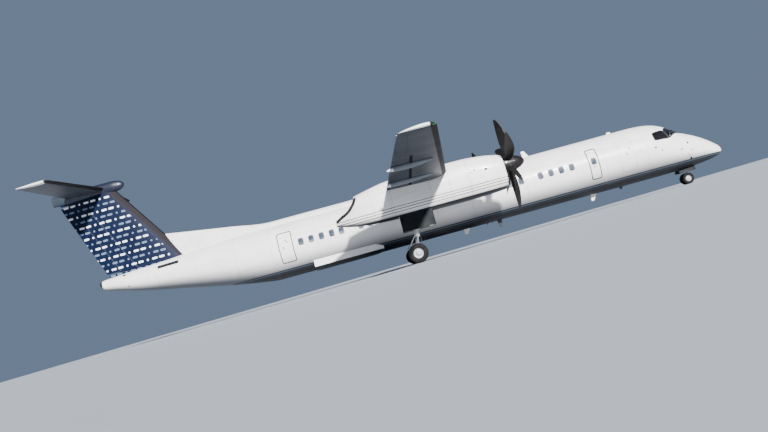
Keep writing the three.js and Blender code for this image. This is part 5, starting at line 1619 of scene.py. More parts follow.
MAIN_GEAR = {"station": 15.94, "height": -1.9118, "radius": 0.4262, "half": 0.132, "rim": 0.215,
             "spread": 0.258, "axle": 0.048, "housing": 0.078, "housing_half": 0.108, "housing_sides": 36,
             "pad": 0.045, "drop": 0.022}
NOSE_GEAR = {"station": 2.0, "height": -1.8186, "radius": 0.2762, "half": 0.080, "rim": 0.140,
             "spread": 0.168, "axle": 0.026, "housing": 0.044, "housing_half": 0.070, "housing_sides": 32,
             "pad": 0.030, "drop": 0.014}
MAIN_PIVOT = (15.56, 0.06)
MAIN_PIVOT_HALF = 0.3995
NOSE_PIVOT = -0.96
NOSE_PIVOT_HALF = 0.2345
TYRE_WALL = [
    # share of the height over the rim, share of the half width
    (0.00, 0.74), (0.05, 0.79), (0.10, 0.81), (0.20, 0.93), (0.32, 0.985), (0.45, 1.0), (0.58, 0.99),
    (0.70, 0.96), (0.74, 0.962), (0.76, 0.935), (0.84, 0.88), (0.90, 0.81), (0.95, 0.71), (0.985, 0.60),
    (0.997, 0.52),
]
GROOVES = (0.40, 0.13)
GROOVE_HALF = 0.030
GROOVE_SHARE = 0.008 / 0.43  # depth as a share of the tyre's radius
HUB = [
    # distance out as a share of the tyre's half width, radius as a share of the rim's
    (-0.35, 0.004), (-0.35, 0.70), (-0.62, 0.72), (-0.62, 0.86), (-0.72, 1.02), (-0.62, 0.985), (-0.3, 0.94),
    (0.3, 0.94), (0.62, 0.985), (0.74, 1.03), (0.66, 1.035), (0.60, 0.96), (0.50, 0.90), (0.42, 0.84),
    (0.20, 0.80), (0.16, 0.60), (0.30, 0.40), (0.42, 0.34), (0.78, 0.30), (0.86, 0.27), (0.88, 0.10),
    (0.88, 0.004),
]
HUB_PARTS = [
    # count, steps turned, distance out, radius, finish, sides, profile: all in the hub's shares
    (10, 0.0, 0.17, 0.70, 1, 6, ((0, 0.055), (0.11, 0.055), (0.16, 0.035))),
    # Dark discs for the hubs' holes: painted shade.
    (8, 0.5, 0.22, 0.50, 2, 20, ((0, 0.085), (0.01, 0.085))),
]
PLATE = ((-1, -0.6), (-0.9, -1), (-0.6, -0.5), (0.6, -0.5), (0.9, -1), (1, -0.6),
         (1, 0.6), (0.9, 1), (0.6, 0.5), (-0.6, 0.5), (-0.9, 1), (-1, 0.6))
GEAR_FINISHES = [GEAR_PAINT, CHROME, RUBBER_SEAL, STEEL, CLEAR_LAMP]


def tyre_profile(gear):
    """Half widths and radii across a tyre, with grooves round its tread."""
    rise = gear["radius"] - gear["rim"]
    side = [(share * gear["half"], gear["rim"] + rise * up) for up, share in TYRE_WALL]
    for groove in GROOVES:
        for edge, deep in ((1.0, 0), (0.8, 1), (-0.8, 1), (-1.0, 0)):
            radius = gear["radius"] * (1 - deep * GROOVE_SHARE)
            side.append(((groove + GROOVE_HALF * edge) * gear["half"], radius))
    return [(-y, r) for y, r in side] + side[::-1]


def round_axle(shape, gear, middle, profile, finish=0, sides=96):
    """Turns a closed profile of distances along y and radii round an axle."""
    angle = turns(sides)
    rows = [np.column_stack((gear["station"] + r * np.cos(angle), np.full(sides, middle + y),
                             gear["height"] + r * np.sin(angle))) for y, r in [*profile, profile[0]]]
    shape.grid(rows, finish, around=True)


def rim_places(gear, y, radius, count, shift=0.0):
    """Places round an axle."""
    centre = np.array([gear["station"], y, gear["height"]])
    for turn in turns(count) + shift * 2 * math.pi / count:
        yield centre + radius * np.array([math.cos(turn), 0.0, math.sin(turn)])


def wheels(kind, tail, gear, middle):
    """Twin wheels: two tyres, two hubs with their bolts, and the axle between them."""
    body = f"{kind}_wheels{tail}"
    for place, way in (("a", 1), ("b", -1)):
        tyre = Shape()
        round_axle(tyre, gear, middle + way * gear["spread"], tyre_profile(gear))
        piece(f"{kind}{tail}_tyre_{place}_tread", tyre, [TYRE], body=body,
              replaces=f"{kind}_tyre{tail}_{place}", slot="tyre", sharp=24)
    hubs = Shape()
    rim, half = gear["rim"], gear["half"]
    for way in (1, -1):
        centre = middle + way * gear["spread"]
        round_axle(hubs, gear, centre, [(way * y * half, r * rim) for y, r in HUB], 0, 72)
        for count, shift, out, radius, finish, sides, profile in HUB_PARTS:
            for foot in rim_places(gear, centre + way * out * half, radius * rim, count, shift):
                scaled = [(y * half, r * rim) for y, r in profile]
                turned(hubs, foot, foot + ACROSS * way, scaled, finish, sides)
    cross_bar(hubs, np.array([gear["station"], middle, gear["height"]]), gear["spread"], gear["axle"], 1)
    piece(f"{kind}{tail}_wheel_hubs", hubs, [HUB_PAINT, STEEL, CAVITY_SHADE], body=body,
          replaces=f"{kind}_hubs{tail}", slot="gear_paint")


def plate(shape, start, end, wide, thick, ends=(1.0, 1.0)):
    """A flat link with round bosses at both ends, its width across the airframe."""
    up = np.cross(ACROSS, unit(end - start))
    rows = []
    for share in np.linspace(0, 1, 9):
        half = wide * (ends[0] + (ends[1] - ends[0]) * share) * (1 - 0.35 * math.sin(math.pi * share))
        at = between(start, end, share)
        rows.append([at + ACROSS * y * half + up * z * thick for y, z in PLATE])
    shape.grid(rows, around=True, caps=True)
    for at in (start, end):
        cross_bar(shape, at, wide, thick * 1.15, sides=18)


def strut(shape, start, end, rows, finish=0, sides=24):
    """A turned body. Its rows are a share of the whole length, metres on from there, and radius."""
    long = float(np.linalg.norm(np.subtract(end, start)))
    turned(shape, start, end, [(share * long + more, radius) for share, more, radius in rows], finish, sides)


def foot_pad(shape, gear, foot, over, edge):
    """The axle housing under a leg and the jacking pad below it."""
    cross_bar(shape, foot, gear["housing_half"], gear["housing"], 0, gear["housing_sides"], 0.1)
    slab(shape, foot - (gear["pad"], gear["pad"], gear["housing"] + gear["drop"]),
         foot + (gear["pad"], gear["pad"], -over), edge)


TRUNNION = [(0, 0.075), (0.012, 0.098), (0.06, 0.098), (0.072, 0.08), (0.095, 0.08)]
MAIN_LEG = [
    # finish, rows of a strut
    (0, [(0, 0, 0.085), (0, 0.04, 0.116), (0, 0.22, 0.117), (0, 0.235, 0.112), (0, 0.50, 0.110),
         (0, 0.515, 0.117), (0, 0.56, 0.117), (0, 0.575, 0.110), (0.64, -0.10, 0.104), (0.64, -0.09, 0.112),
         (0.64, -0.012, 0.112), (0.64, 0, 0.098), (0.64, 0, 0.07)]),
    (1, [(0.6, 0, 0.066), (0.64, 0.03, 0.070), (0.93, 0, 0.070)]),
    (0, [(0.915, 0, 0.072), (0.925, 0, 0.086), (0.985, 0, 0.086)]),
]
MAIN_HOSE = [
    # share of the way down the leg, aft, times its distance from the middle, up
    (0.10, -0.118, 1.0, 0.0),
    (0.30, -0.122, 1.0, 0.0),
    (0.60, -0.118, 1.0, 0.0),
    (0.68, -0.16, 1.1, 0.0),
    (0.80, -0.17, 1.2, 0.0),
    (0.90, -0.12, 1.2, 0.0),
    (0.97, -0.085, 1.1, 0.02),
]
HOSE_Y = 0.085
HOSE_CLAMPS = (0.14, 0.34, 0.54)
MAIN_LINKS = {"top": 0.62, "low": 0.93, "knee": 0.30}
LEG_BOX = 0.42


def main_leg(name, pivot, foot):
    leg = Shape()
    cross_bar(leg, pivot, MAIN_PIVOT_HALF, 0.070, sides=32)
    for way in BOTH:
        turned(leg, pivot + ACROSS * way * 0.30, pivot + ACROSS * way * 0.395, TRUNNION, 0, 32)
    for finish, rows in MAIN_LEG:
        strut(leg, pivot, foot, rows, finish, 40)
    foot_pad(leg, MAIN_GEAR, foot, 0.04, 0.006)
    top, low = between(pivot, foot, MAIN_LINKS["top"]), between(pivot, foot, MAIN_LINKS["low"])
    knee = (top + low) / 2 + (MAIN_LINKS["knee"], 0.0, 0.0)
    plate(leg, top + (0.11, 0.0, 0.0), knee, 0.062, 0.022, (1.0, 0.72))
    plate(leg, knee, low + (0.08, 0.0, 0.0), 0.062, 0.022, (0.72, 1.0))
    for way in BOTH:
        y = way * HOSE_Y
        path = [between(pivot, foot, share) + (aft, y * out, up) for share, aft, out, up in MAIN_HOSE]
        hose(leg, smooth(path, 40), 0.009, 2)
        for share in HOSE_CLAMPS:
            at = between(pivot, foot, share)
            slab(leg, at + (-0.134, y - 0.018, -0.012), at + (-0.10, y + 0.018, 0.012), 0.003, 3)
    box = between(pivot, foot, LEG_BOX)
    slab(leg, box + (-0.135, -0.05, -0.07), box + (-0.10, 0.05, 0.07), 0.006, 3)
    piece(f"main_leg_{name}_strut", leg, GEAR_FINISHES[:4], replaces=f"main_leg_{name}", slot="gear_paint")


BRAKE = [(0, 0.052), (0, 0.120), (0.012, 0.135), (0.026, 0.135), (0.034, 0.150), (0.042, 0.150),
         (0.046, 0.135), (0.060, 0.135), (0.060, 0.052)]


def main_brakes(name, gear, middle):
    brake = Shape()
    for way in BOTH:
        near = middle + way * (gear["housing_half"] + 0.004)
        round_axle(brake, gear, near, [(way * y, r) for y, r in BRAKE], 0, 48)
        for foot in rim_places(gear, near, 0.105, 6):
            turned(brake, foot + ACROSS * way * 0.004, foot, [(0, 0.016), (0.004, 0.016)], 1, 14)
    piece(f"main_brakes_{name}", brake, [HOT_METAL, STEEL])


MAIN_BRACE = [(0, 0, 0.03), (0, 0.04, 0.046), (0, 0.09, 0.046), (0, 0.13, 0.034), (1, -0.13, 0.034),
              (1, -0.09, 0.044), (1, -0.02, 0.044), (1, 0, 0.03)]
BRACE_HOSE = [
    # share of the way along the brace, aft, up
    (0.0, 0.02, 0.05),
    (0.3, -0.02, 0.045),
    (0.7, -0.02, 0.045),
    (1.0, 0.0, 0.05),
]
ACTUATOR = [(0, 0.03), (0.02, 0.04), (0.26, 0.04), (0.275, 0.02), (0.46, 0.02)]


def main_brace(name, pivot, foot):
    brace = Shape()
    top = np.array([WELL["front"] + 0.09, pivot[1], MAIN_PIVOT[1] + 0.02])
    knee = between(pivot, foot, 0.5) + (-0.06, 0.0, 0.0)
    cross_bar(brace, top, MAIN_PIVOT_HALF, 0.042)
    for way in BOTH:
        start, end = top + ACROSS * way * 0.25, knee + ACROSS * way * 0.095
        strut(brace, start, end, MAIN_BRACE, 0, 26)
        hose(brace, [between(start, end, share) + (aft, 0, up) for share, aft, up in BRACE_HOSE], 0.006, 2)
    cross_bar(brace, knee, 0.12, 0.044)
    cross_bar(brace, between(top, knee, 0.38), 0.18, 0.022, 1, 20)
    turned(brace, top + (0.12, 0.0, 0.06), between(knee, top, 0.38), ACTUATOR, 0, 24)
    piece(f"main_brace_{name}_strut", brace, [GEAR_PAINT, STEEL, RUBBER_SEAL], replaces=f"main_brace_{name}",
          slot="gear_paint")


def main_gear(name, side):
    middle = side * NACELLE_Y
    pivot = np.array([MAIN_PIVOT[0], middle, MAIN_PIVOT[1]])
    foot = np.array([MAIN_GEAR["station"], middle, MAIN_GEAR["height"]])
    main_leg(name, pivot, foot)
    main_brakes(name, MAIN_GEAR, middle)
    main_brace(name, pivot, foot)
    wheels("main", f"_{name}", MAIN_GEAR, middle)
    for place, way in (("outer", side), ("inner", -side)):
        gear_door(f"main_door_{place}_{name}", MAIN_DOOR, WELL["half"], middle, way)
    main_bay(name, middle)


MAIN_DOOR = {"front": 14.88, "back": 16.32, "thick": 0.022, "top": -0.07, "mouth": -0.196, "out": 0.062,
             "low": -0.905, "ribs": 6}
NOSE_DOOR = {"front": 1.56, "back": 2.38, "thick": 0.016, "top": -1.21, "mouth": -1.322, "out": 0.062,
             "low": -1.49, "ribs": 4}
DOOR_GAP = 0.0003
DOOR_BULGE = 0.006
DOOR_BEAMS = (0.04, 0.5, 0.94)


def door_rib(shape, door, wall, middle, way, stations, shares, deep):
    """A box along a stretch of a door's inner side, between two stations and two shares of the way down."""
    foot, end = np.array([wall, door["mouth"]]), np.array([wall + door["out"], door["low"]])
    a, b = between(foot, end, shares[0]), between(foot, end, shares[1])
    near = door["thick"] * 0.4
    points = [(station, middle + way * (at[0] - inset), at[1]) for station in stations
              for at, inset in ((a, near), (b, near), (b, near + deep), (a, near + deep))]
    shape.add(points, [(0, 1, 2, 3), (4, 7, 6, 5), (0, 4, 5, 1), (1, 5, 6, 2), (2, 6, 7, 3), (3, 7, 4, 0)], 1)


def gear_door(name, door, half, middle, way):
    """An open door: a leaf that leans out, with beams and ribs on its inner side, and two hinge arms."""
    front, back, mouth, thick = door["front"], door["back"], door["mouth"], door["thick"]
    wall = half - DOOR_GAP
    bends = [(wall, door["top"]), (wall, mouth), (wall + door["out"], door["low"])]
    shape = Shape()
    outer = []
    for start, end, bulge in zip(bends, bends[1:], (0.0, DOOR_BULGE)):
        for share in np.linspace(0, 1, 7)[:-1]:
            y, z = between(start, end, share)
            outer.append((y + bulge * math.sin(math.pi * share), z))
    outer.append(bends[-1])
    inner = [(y - thick * 0.45, z) for y, z in outer[::-1]]
    rows = []
    for station, slim in ((front, 0.0025), (front + 0.004, 0.0), (back - 0.004, 0.0), (back, 0.0025)):
        rows.append([(station, middle + way * (y - slim), z) for y, z in outer]
                    + [(station, middle + way * (y + slim), z) for y, z in inner])
    shape.grid(rows, 0, around=True, caps=True)
    long, deep = back - front, thick * 0.55
    for share in np.linspace(0, 1, door["ribs"]):
        at = front + long * (0.04 + 0.92 * share)
        door_rib(shape, door, wall, middle, way, (at - 0.009, at + 0.009), (0.05, 0.96), deep)
    for share in DOOR_BEAMS:
        reach = (front + 0.03 * long, back - 0.03 * long)
        door_rib(shape, door, wall, middle, way, reach, (share, share + 0.03), deep * 0.8)
    high, arm = door["top"] - 0.004, middle + way * (wall - thick * 0.7)
    for at in (front + 0.16 * long, back - 0.16 * long):
        slab(shape, (at - 0.02, middle + way * (wall - thick), mouth - 0.02),
             (at + 0.02, middle + way * (wall - thick * 0.3), high), 0.003, 2)
        bar(shape, (at - 0.035, arm, high), (at + 0.035, arm, high), thick * 0.5, 2, 16)
    piece(f"{name}_leaf", shape, [DOOR_PAINT_AND_SHADE, BAY_PAINT, STEEL], replaces=name, slot="white_paint")


MAIN_FRAMES = {"count": 7, "inset": 0.008, "half": 0.012, "thick": 0.008, "foot": -0.06, "deep": 0.02}
NOSE_FRAMES = {"count": 6, "inset": 0.006, "half": 0.009, "thick": 0.005, "foot": -1.19, "deep": 0.014}
MAIN_PIPES = (-0.30, -0.24, 0.27)
NOSE_PIPES = (-0.17, -0.13, 0.15)


def bay_frames(shape, bay, middle, frames):
    """Frames up the walls of a gear's bay and across its roof."""
    half, thick, roof = frames["half"], frames["thick"], bay["roof"]
    for station in np.linspace(bay["front"] + 0.12, bay["back"] - 0.12, frames["count"]):
        for way in BOTH:
            y = middle + way * (bay["half"] - frames["inset"])
            slab(shape, (station - half, y - thick, frames["foot"]), (station + half, y + thick, roof), 0.002)
        slab(shape, (station - half, middle - bay["half"], roof - frames["deep"]),
             (station + half, middle + bay["half"], roof), 0.002)


def main_bay(name, middle):
    """What is seen in a main gear's bay: frames, pipes and a junction box."""
    shape = Shape()
    front, back, roof = WELL["front"], WELL["back"], WELL["roof"]
    bay_frames(shape, WELL, middle, MAIN_FRAMES)
    for k, y in enumerate(MAIN_PIPES):
        path = [(front + 0.02, middle + y, roof - 0.035), (front + 0.7, middle + y, roof - 0.035),
                (front + 0.9, middle + y * 0.8, roof - 0.05), (back - 0.02, middle + y * 0.8, roof - 0.05)]
        hose(shape, smooth(path, 24), 0.008 + 0.002 * k, 1)
    slab(shape, (back - 0.22, middle - 0.12, roof - 0.12), (back - 0.04, middle + 0.12, roof - 0.002), 0.006,
         2)
    piece(f"main_bay_{name}_fittings", shape, [BAY_PAINT, STEEL, GEAR_PAINT])


def bay_wall(shape, foot, roof):
    """A wall from the skin's edge up to the roof of a bay."""
    shape.grid([foot, np.column_stack((foot[:, :2], np.full(len(foot), roof)))])


def nose_bay():
    """The nose gear's bay: walls up from the skin's edge, a roof, frames and pipes."""
    shape = Shape()
    front, back, half, roof = (NOSE_BAY[key] for key in ("front", "back", "half", "roof"))
    stations = lines((front, back, 12))
    for way in BOTH:
        bay_wall(shape, np.array([skin(s, 270 + way * keel_edge(s)) for s in stations]), roof)
    shape.grid([[(s, way * half, roof) for s in stations] for way in BOTH])
    for station in (front, back):
        edge = keel_edge(station)
        bay_wall(shape, skin(station, np.linspace(270 - edge, 270 + edge, 7)), roof)
    bay_frames(shape, NOSE_BAY, 0.0, NOSE_FRAMES)
    for k, y in enumerate(NOSE_PIPES):
        path = [(s, y, roof - 0.03) for s in (front + 0.01, (front + back) / 2, back - 0.01)]
        hose(shape, path, 0.006 + 0.002 * k, 1)
    piece("nose_bay_lining", shape, [BAY_PAINT, STEEL])


NOSE_SLEEVE = [(0, 0.05), (0.02, 0.062), (0.16, 0.062), (0.17, 0.056), (0.30, 0.056), (0.31, 0.061),
               (0.36, 0.061), (0.37, 0.057), (0.47, 0.057), (0.48, 0.062), (0.52, 0.062)]
NOSE_BRACE = [(0, 0, 0.02), (0, 0.03, 0.033), (0, 0.06, 0.033), (0, 0.09, 0.023), (1, -0.12, 0.023),
              (1, -0.09, 0.032), (1, -0.05, 0.032)]
NOSE_SLEEVE_END = -1.48
NOSE_BRACE_TOP = 2.36
NOSE_BRACE_FOOT = -1.35
NOSE_HOSE = [
    # station, distance from the middle, height
    (1.945, 0.03, -1.0),
    (1.935, 0.03, -1.2),
    (1.935, 0.035, -1.46),
]
NOSE_LAMP = (1.915, 0.095, -1.30)
LAMP_SHELL = [(0, 0.02), (0.02, 0.045), (0.07, 0.05), (0.078, 0.05)]
NOSE_FORK = [
    # top, bottom, finish, profile
    (-1.481, -1.54, 0, [(0, 0.060), (0.006, 0.066), (0.052, 0.066), (0.059, 0.056)]),
    (-1.53, -1.79, 1, [(0, 0.040), (0.26, 0.040)]),
    (-1.75, NOSE_GEAR["height"], 0, [(0, 0.041), (0.008, 0.05), (0.06, 0.05)]),
]


def on_nose_leg(z):
    return np.array([NOSE_GEAR["station"], 0.0, z])


def nose_leg():
    leg = Shape()
    pivot = on_nose_leg(NOSE_PIVOT)
    cross_bar(leg, pivot, NOSE_PIVOT_HALF, 0.042)
    turned(leg, pivot, on_nose_leg(NOSE_SLEEVE_END), NOSE_SLEEVE, 0, 36)
    top = np.array([NOSE_BRACE_TOP, 0.0, NOSE_PIVOT + 0.02])
    cross_bar(leg, top, NOSE_PIVOT_HALF, 0.026, sides=22)
    strut(leg, top, on_nose_leg(NOSE_BRACE_FOOT), NOSE_BRACE, 0, 22)
    for way in BOTH:
        path = [(station, way * y, z) for station, y, z in NOSE_HOSE]
        hose(leg, smooth(path, 14), 0.006, 2)
        lamp = np.array(NOSE_LAMP) * (1, way, 1)
        turned(leg, lamp + (0.02, 0, 0), lamp + (-0.06, 0, 0), LAMP_SHELL, 3, 28)
        turned(leg, lamp + (-0.056, 0, 0), lamp + (-0.062, 0, 0), [(0, 0.045), (0.006, 0.03)], 4, 28)
        bar(leg, (1.94, way * 0.04, -1.30), (1.94, way * 0.075, -1.30), 0.012, 3, 14)
    piece("nose_leg_strut", leg, GEAR_FINISHES, replaces="nose_leg", slot="gear_paint")


def nose_fork():
    fork = Shape()
    foot = on_nose_leg(NOSE_GEAR["height"])
    for top, bottom, finish, profile in NOSE_FORK:
        turned(fork, on_nose_leg(top), on_nose_leg(bottom), profile, finish, 36)
    foot_pad(fork, NOSE_GEAR, foot, 0.02, 0.004)
    start, end = on_nose_leg(-1.514) + (-0.06, 0, 0), foot + (-0.045, 0, 0.03)
    knee = (start + end) / 2 + (-0.10, 0, 0)
    plate(fork, start, knee, 0.026, 0.011, (1.0, 0.8))
    plate(fork, knee, end, 0.026, 0.011, (0.8, 1.0))
    piece("nose_fork_strut", fork, GEAR_FINISHES[:2], body="nose_steering", replaces="nose_fork",
          slot="gear_paint")


def nose_gear():
    nose_leg()
    nose_fork()
    wheels("nose", "", NOSE_GEAR, 0.0)
    for name, way in SIDES:
        gear_door(f"nose_door_{name}", NOSE_DOOR, NOSE_BAY["half"], 0.0, way)
    nose_bay()


# Cockpit windows, outlined in stations and heights as seen from the side

COCKPIT_PANES = [
    # corners: lower back, lower front, upper front, upper back
    ((3.46, 0.33), (2.745, 0.285), (2.855, 0.735), (3.46, 0.70)),
    ((2.70, 0.285), (1.95, 0.43), (2.33, 0.80), (2.81, 0.75)),
]
POST_HALF = 0.035
PANE_LOOPS = [
    # scale across, scale up, lift, finish of the ring outside the loop
    (1.10, 1.16, 0.0005, 0),
    (1.09, 1.144, 0.004, 0),
    (1.0, 1.0, 0.0045, 0),
    (0.985, 0.985, 0.002, 0),
    (0.97, 0.97, 0.002, 0),
    (0.72, 0.72, 0.003, 1),
    (0.40, 0.40, 0.004, 1),
    (0.12, 0.12, 0.0045, 1),
]
WIPER = {"front": 2.12, "long": 0.30, "foot": 74, "swing": -22, "lift": 0.022, "fall": -0.008}
WIPER_ARM = ((2.08, 62, 0.0), (2.12, 63, 0.03))


def cockpit_pane(shape, corners, side):
    marks = []
    for station, z in corners:
        limit = math.degrees(math.acos(POST_HALF / section(station)[3][0]))
        marks.append(np.array((station, min(float(angle_of(station, z, 1)[0]), limit))))
    a, b, c, d = marks
    around = [rounded(math.cos(t), math.sin(t), 7.0) for t in turns(56)]
    loops = []
    for wide, tall, lift, _ in PANE_LOOPS:
        loop = []
        for u, v in around:
            s, t = (u * wide + 1) / 2, (v * tall + 1) / 2
            station, angle = between(between(a, b, s), between(d, c, s), t)
            loop.append(skin(station, sided(angle, side), lift))
        loops.append(loop)
    shape.boss(loops, [row[3] for row in PANE_LOOPS[1:]])


def cockpit():
    for name, side in SIDES:
        shape = Shape()
        for corners in COCKPIT_PANES:
            cockpit_pane(shape, corners, side)
        path = [skin(WIPER["front"] + WIPER["long"] * share,
                     sided(WIPER["foot"] + WIPER["swing"] * share, side),
                     WIPER["lift"] + WIPER["fall"] * share) for share in np.linspace(0, 1, 10)]
        hose(shape, path, 0.007, 2, 8)
        arm = [skin(station, sided(degrees, side), lift) for station, degrees, lift in WIPER_ARM]
        hose(shape, [*arm, path[5]], 0.009, 2, 8)
        piece(f"cockpit_{name}_panes", shape, [RUBBER_SEAL, COCKPIT, LAMP_BLACK],
              replaces=f"cockpit_glass_{name}", slot="window_glass", sharp=40)


# Airstair door and the room behind it

DOOR_SKIN = 0.09
DOOR_HINGE = (0.936, -0.966)
KNUCKLES = ((4.56, 4.70), (5.06, 5.20))
TREADS = {"count": 5, "deep": 0.215, "thick": 0.028, "lean": 26.0, "lowest": -0.64, "rise": 0.28,
          "inset": 0.06, "sunk": 0.018}
TREAD_RIBS = {"count": 5, "pitch": 0.034, "inset": 0.03, "half": (0.002, 0.006)}
RAIL = {"inset": 0.035, "low": -0.55, "high": 0.60, "posts": (-0.55, 0.02, 0.60), "off": 0.05}
HANDLE_FRAME = (4.79, 4.97, 0.44, 0.52)
HANDLE_BAR = ((4.82, 0.48), (4.94, 0.48))
INNER_RADIUS = RADIUS - DOOR_SKIN
ROOM_DEPTH = 0.002
LOCKERS = [
    # front, back, low, high
    (4.54, 4.86, -0.90, -0.1),
    (4.90, 5.22, -0.90, -0.1),
    (4.54, 5.22, -0.06, 0.34),
    (4.54, 4.86, 0.38, 0.74),
    (4.90, 5.22, 0.38, 0.74),
]


def wall(radius, z):
    """How far out a round wall is at a height."""
    return math.sqrt(radius ** 2 - z ** 2)


def door_steps(door, front, back):
    """Treads on the door's inner side, each with raised ribs on it."""
    lean = math.radians(TREADS["lean"])
    c, s = math.cos(lean), math.sin(lean)
    deep, thick = TREADS["deep"] / 2, TREADS["thick"] / 2
    half = np.array([(DOORWAY["back"] - DOORWAY["front"]) / 2 - TREADS["inset"], thick, deep])
    for i in range(TREADS["count"]):
        z = TREADS["lowest"] + i * TREADS["rise"]
        y = wall(INNER_RADIUS, z) - s * deep + TREADS["sunk"]
        centre = np.array([(front + back) / 2, y, z + c * deep])
        slab(door, centre - half, centre + half, 0.006, 3, TREADS["lean"])
        for k in range(TREAD_RIBS["count"]):
            offset = (k - 2) * TREAD_RIBS["pitch"]
            at = centre + (0, -thick * c - offset * s, -thick * s + offset * c)
            rib = np.array([half[0] - TREAD_RIBS["inset"], *TREAD_RIBS["half"]])
            slab(door, at - rib, at + rib, 0.001, 4, TREADS["lean"])


def airstair_door():
    door = Shape()
    front, back = DOORWAY["front"] + RUNNING_GAP, DOORWAY["back"] - RUNNING_GAP
    ends = [math.asin(z / RADIUS) for z in (DOORWAY["sill"] + RUNNING_GAP, DOORWAY["head"] - RUNNING_GAP)]
    heights = RADIUS * np.sin(np.linspace(*ends, 30))
    stations = lines((front, back, 10))
    outer, inner = (np.array([[(s, wall(radius, z), z) for z in heights] for s in stations])
                    for radius in (RADIUS, INNER_RADIUS))
    door.grid(outer, 0)
    door.grid(inner, 1)
    for k in (0, -1):
        door.grid([outer[k], inner[k]], 2)
    for k in (0, -1):
        door.grid([outer[:, k], inner[:, k]], 2)
    door_steps(door, front, back)
    y, z = DOOR_HINGE
    for low, high in KNUCKLES:
        bar(door, (low, y, z), (high, y, z), 0.0255, 4, 26)
        slab(door, (low, y - 0.018, z + 0.004), (high, y + 0.020, z + 0.058), 0.004, 4)
    rail = INNER_RADIUS - RAIL["off"]
    for station in (front + RAIL["inset"], back - RAIL["inset"]):
        path = [(station, wall(rail, z), z) for z in np.linspace(RAIL["low"], RAIL["high"], 14)]
        hose(door, path, 0.011, 4, 12)
        for z in RAIL["posts"]:
            bar(door, (station, wall(rail, z), z), (station, wall(INNER_RADIUS + 0.01, z), z), 0.009, 4, 12)
    ribbon(door, frame_path(*HANDLE_FRAME, 0.03), 1, 0.006, 4, 0.002)
    ribbon(door, HANDLE_BAR, 1, 0.03, 4, 0.004, closed=False)
    piece("airstair_door_panel", door, [HULL, LINER, RUBBER_SEAL, TREAD, STEEL], body="airstair_door",
          replaces="airstair_door", slot="white_paint")


def vestibule():
    """The room behind the airstair door: its lining, floor, lockers, seal and the door's hinge pin."""
    room = Shape()
    front, back, sill, head = (DOORWAY[key] for key in ("front", "back", "sill", "head"))
    zs = np.linspace(sill, head, 24)
    mouth = [(wall(RADIUS, z) - 0.0005, z) for z in zs]
    for station in (front, back):
        room.grid([[(station, y, z) for y, z in mouth], [(station, y - 0.10, z) for y, z in mouth],
                   [(station, ROOM_DEPTH, z) for z in zs]], 0)
    for (edge, z), finish in ((mouth[0], 1), (mouth[-1], 0)):
        room.grid([[(s, y, z) for y in np.linspace(edge, ROOM_DEPTH, 8)] for s in (front, back)], finish)
    room.grid([[(s, ROOM_DEPTH, z) for z in zs] for s in (front, back)], 0)
    for s0, s1, z0, z1 in LOCKERS:
        slab(room, (s0, 0.0, z0), (s1, 0.018, z1), 0.006, 2)
        bar(room, (s0 + 0.05, 0.03, (z0 + z1) / 2), (s0 + 0.13, 0.03, (z0 + z1) / 2), 0.006, 3, 12)
    seal = frame_path(front + 0.004, back - 0.004, sill + 0.004, head - 0.004, 0.02)
    ribbon(room, seal, 1, 0.012, 4, -0.012)
    bar(room, (front - 0.0195, *DOOR_HINGE), (back + 0.0195, *DOOR_HINGE), 0.0128, 3, 22)
    piece("vestibule", room, [LINER, CARPET, BULKHEAD, STEEL, RUBBER_SEAL], sharp=30)


# Antennas, lamps and small fittings

ANTENNAS = [
    # station of the foot, side up or down, height, foot length, tip length, thickness, rake, finish
    (9.20, 1, 0.300, 0.330, 0.150, 0.022, 0.190, 0),
    (4.95, 1, 0.090, 0.260, 0.160, 0.030, 0.060, 0),
    (6.50, -1, 0.300, 0.300, 0.140, 0.022, 0.190, 0),
    (5.15, -1, 0.110, 0.200, 0.110, 0.022, 0.060, 1),
    (11.35, -1, 0.330, 0.260, 0.120, 0.026, 0.060, 1),
    (13.00, -1, 0.240, 0.300, 0.150, 0.022, 0.150, 0),
]
ANTENNA_FOOT = {"over": 0.05, "half": 0.028, "sides": 32}
ANTENNA_LOOPS = ((1.0, -0.004), (1.0, 0.004), (0.86, 0.007))


def antennas():
    shape = Shape()
    around, sign = lens(12)
    for station, way, tall, foot, tip, thick, rake, finish in ANTENNAS:
        rows = []
        for up in lines((0.0, 0.9, 6), (0.9, 1.0, 6)):
            fade = math.sqrt(max(0.0, 1 - max(0.0, (up - 0.9) / 0.1) ** 2)) * 0.9 + 0.1
            long = (foot + (tip - foot) * up) * (0.85 + 0.15 * fade)
            wide = thick * (0.3 + 0.7 * fade) * (1 - 0.3 * up)
            half = wide / 2 * np.sqrt(np.maximum(0, 1 - (2 * around - 1) ** 2)) * (1.15 - 0.5 * around)
            z = way * (RADIUS - 0.02 + (tall + 0.02) * up)
            rows.append(np.column_stack((station + rake * up + long * around, sign * half,
                                         np.full(len(around), z))))
        shape.grid(rows, finish, around=True, caps=True)
        middle, half_long = station + foot / 2, (foot + ANTENNA_FOOT["over"]) / 2
        loops = []
        for scale, lift in ANTENNA_LOOPS:
            ys = [ANTENNA_FOOT["half"] * math.sin(t) * scale for t in turns(ANTENNA_FOOT["sides"])]
            loops.append([(middle + half_long * math.cos(t) * scale, y, way * (wall(RADIUS, y) + lift))
                          for t, y in zip(turns(ANTENNA_FOOT["sides"]), ys)])
        shape.boss(loops, (finish, finish))
    piece("antennas", shape, [WHITE, LAMP_BLACK])


def dome(shape, foot, out, radius, tall, finish, sides=24):
    """A low rounded lamp cover."""
    profile = [(0, radius)]
    for t in np.linspace(0, math.pi / 2, 8):
        profile.append((0.15 * tall + 0.85 * tall * math.sin(t), radius * (0.98 * math.cos(t) + 0.02)))
    turned(shape, foot, np.asarray(foot, float) + unit(out), profile, finish, sides)


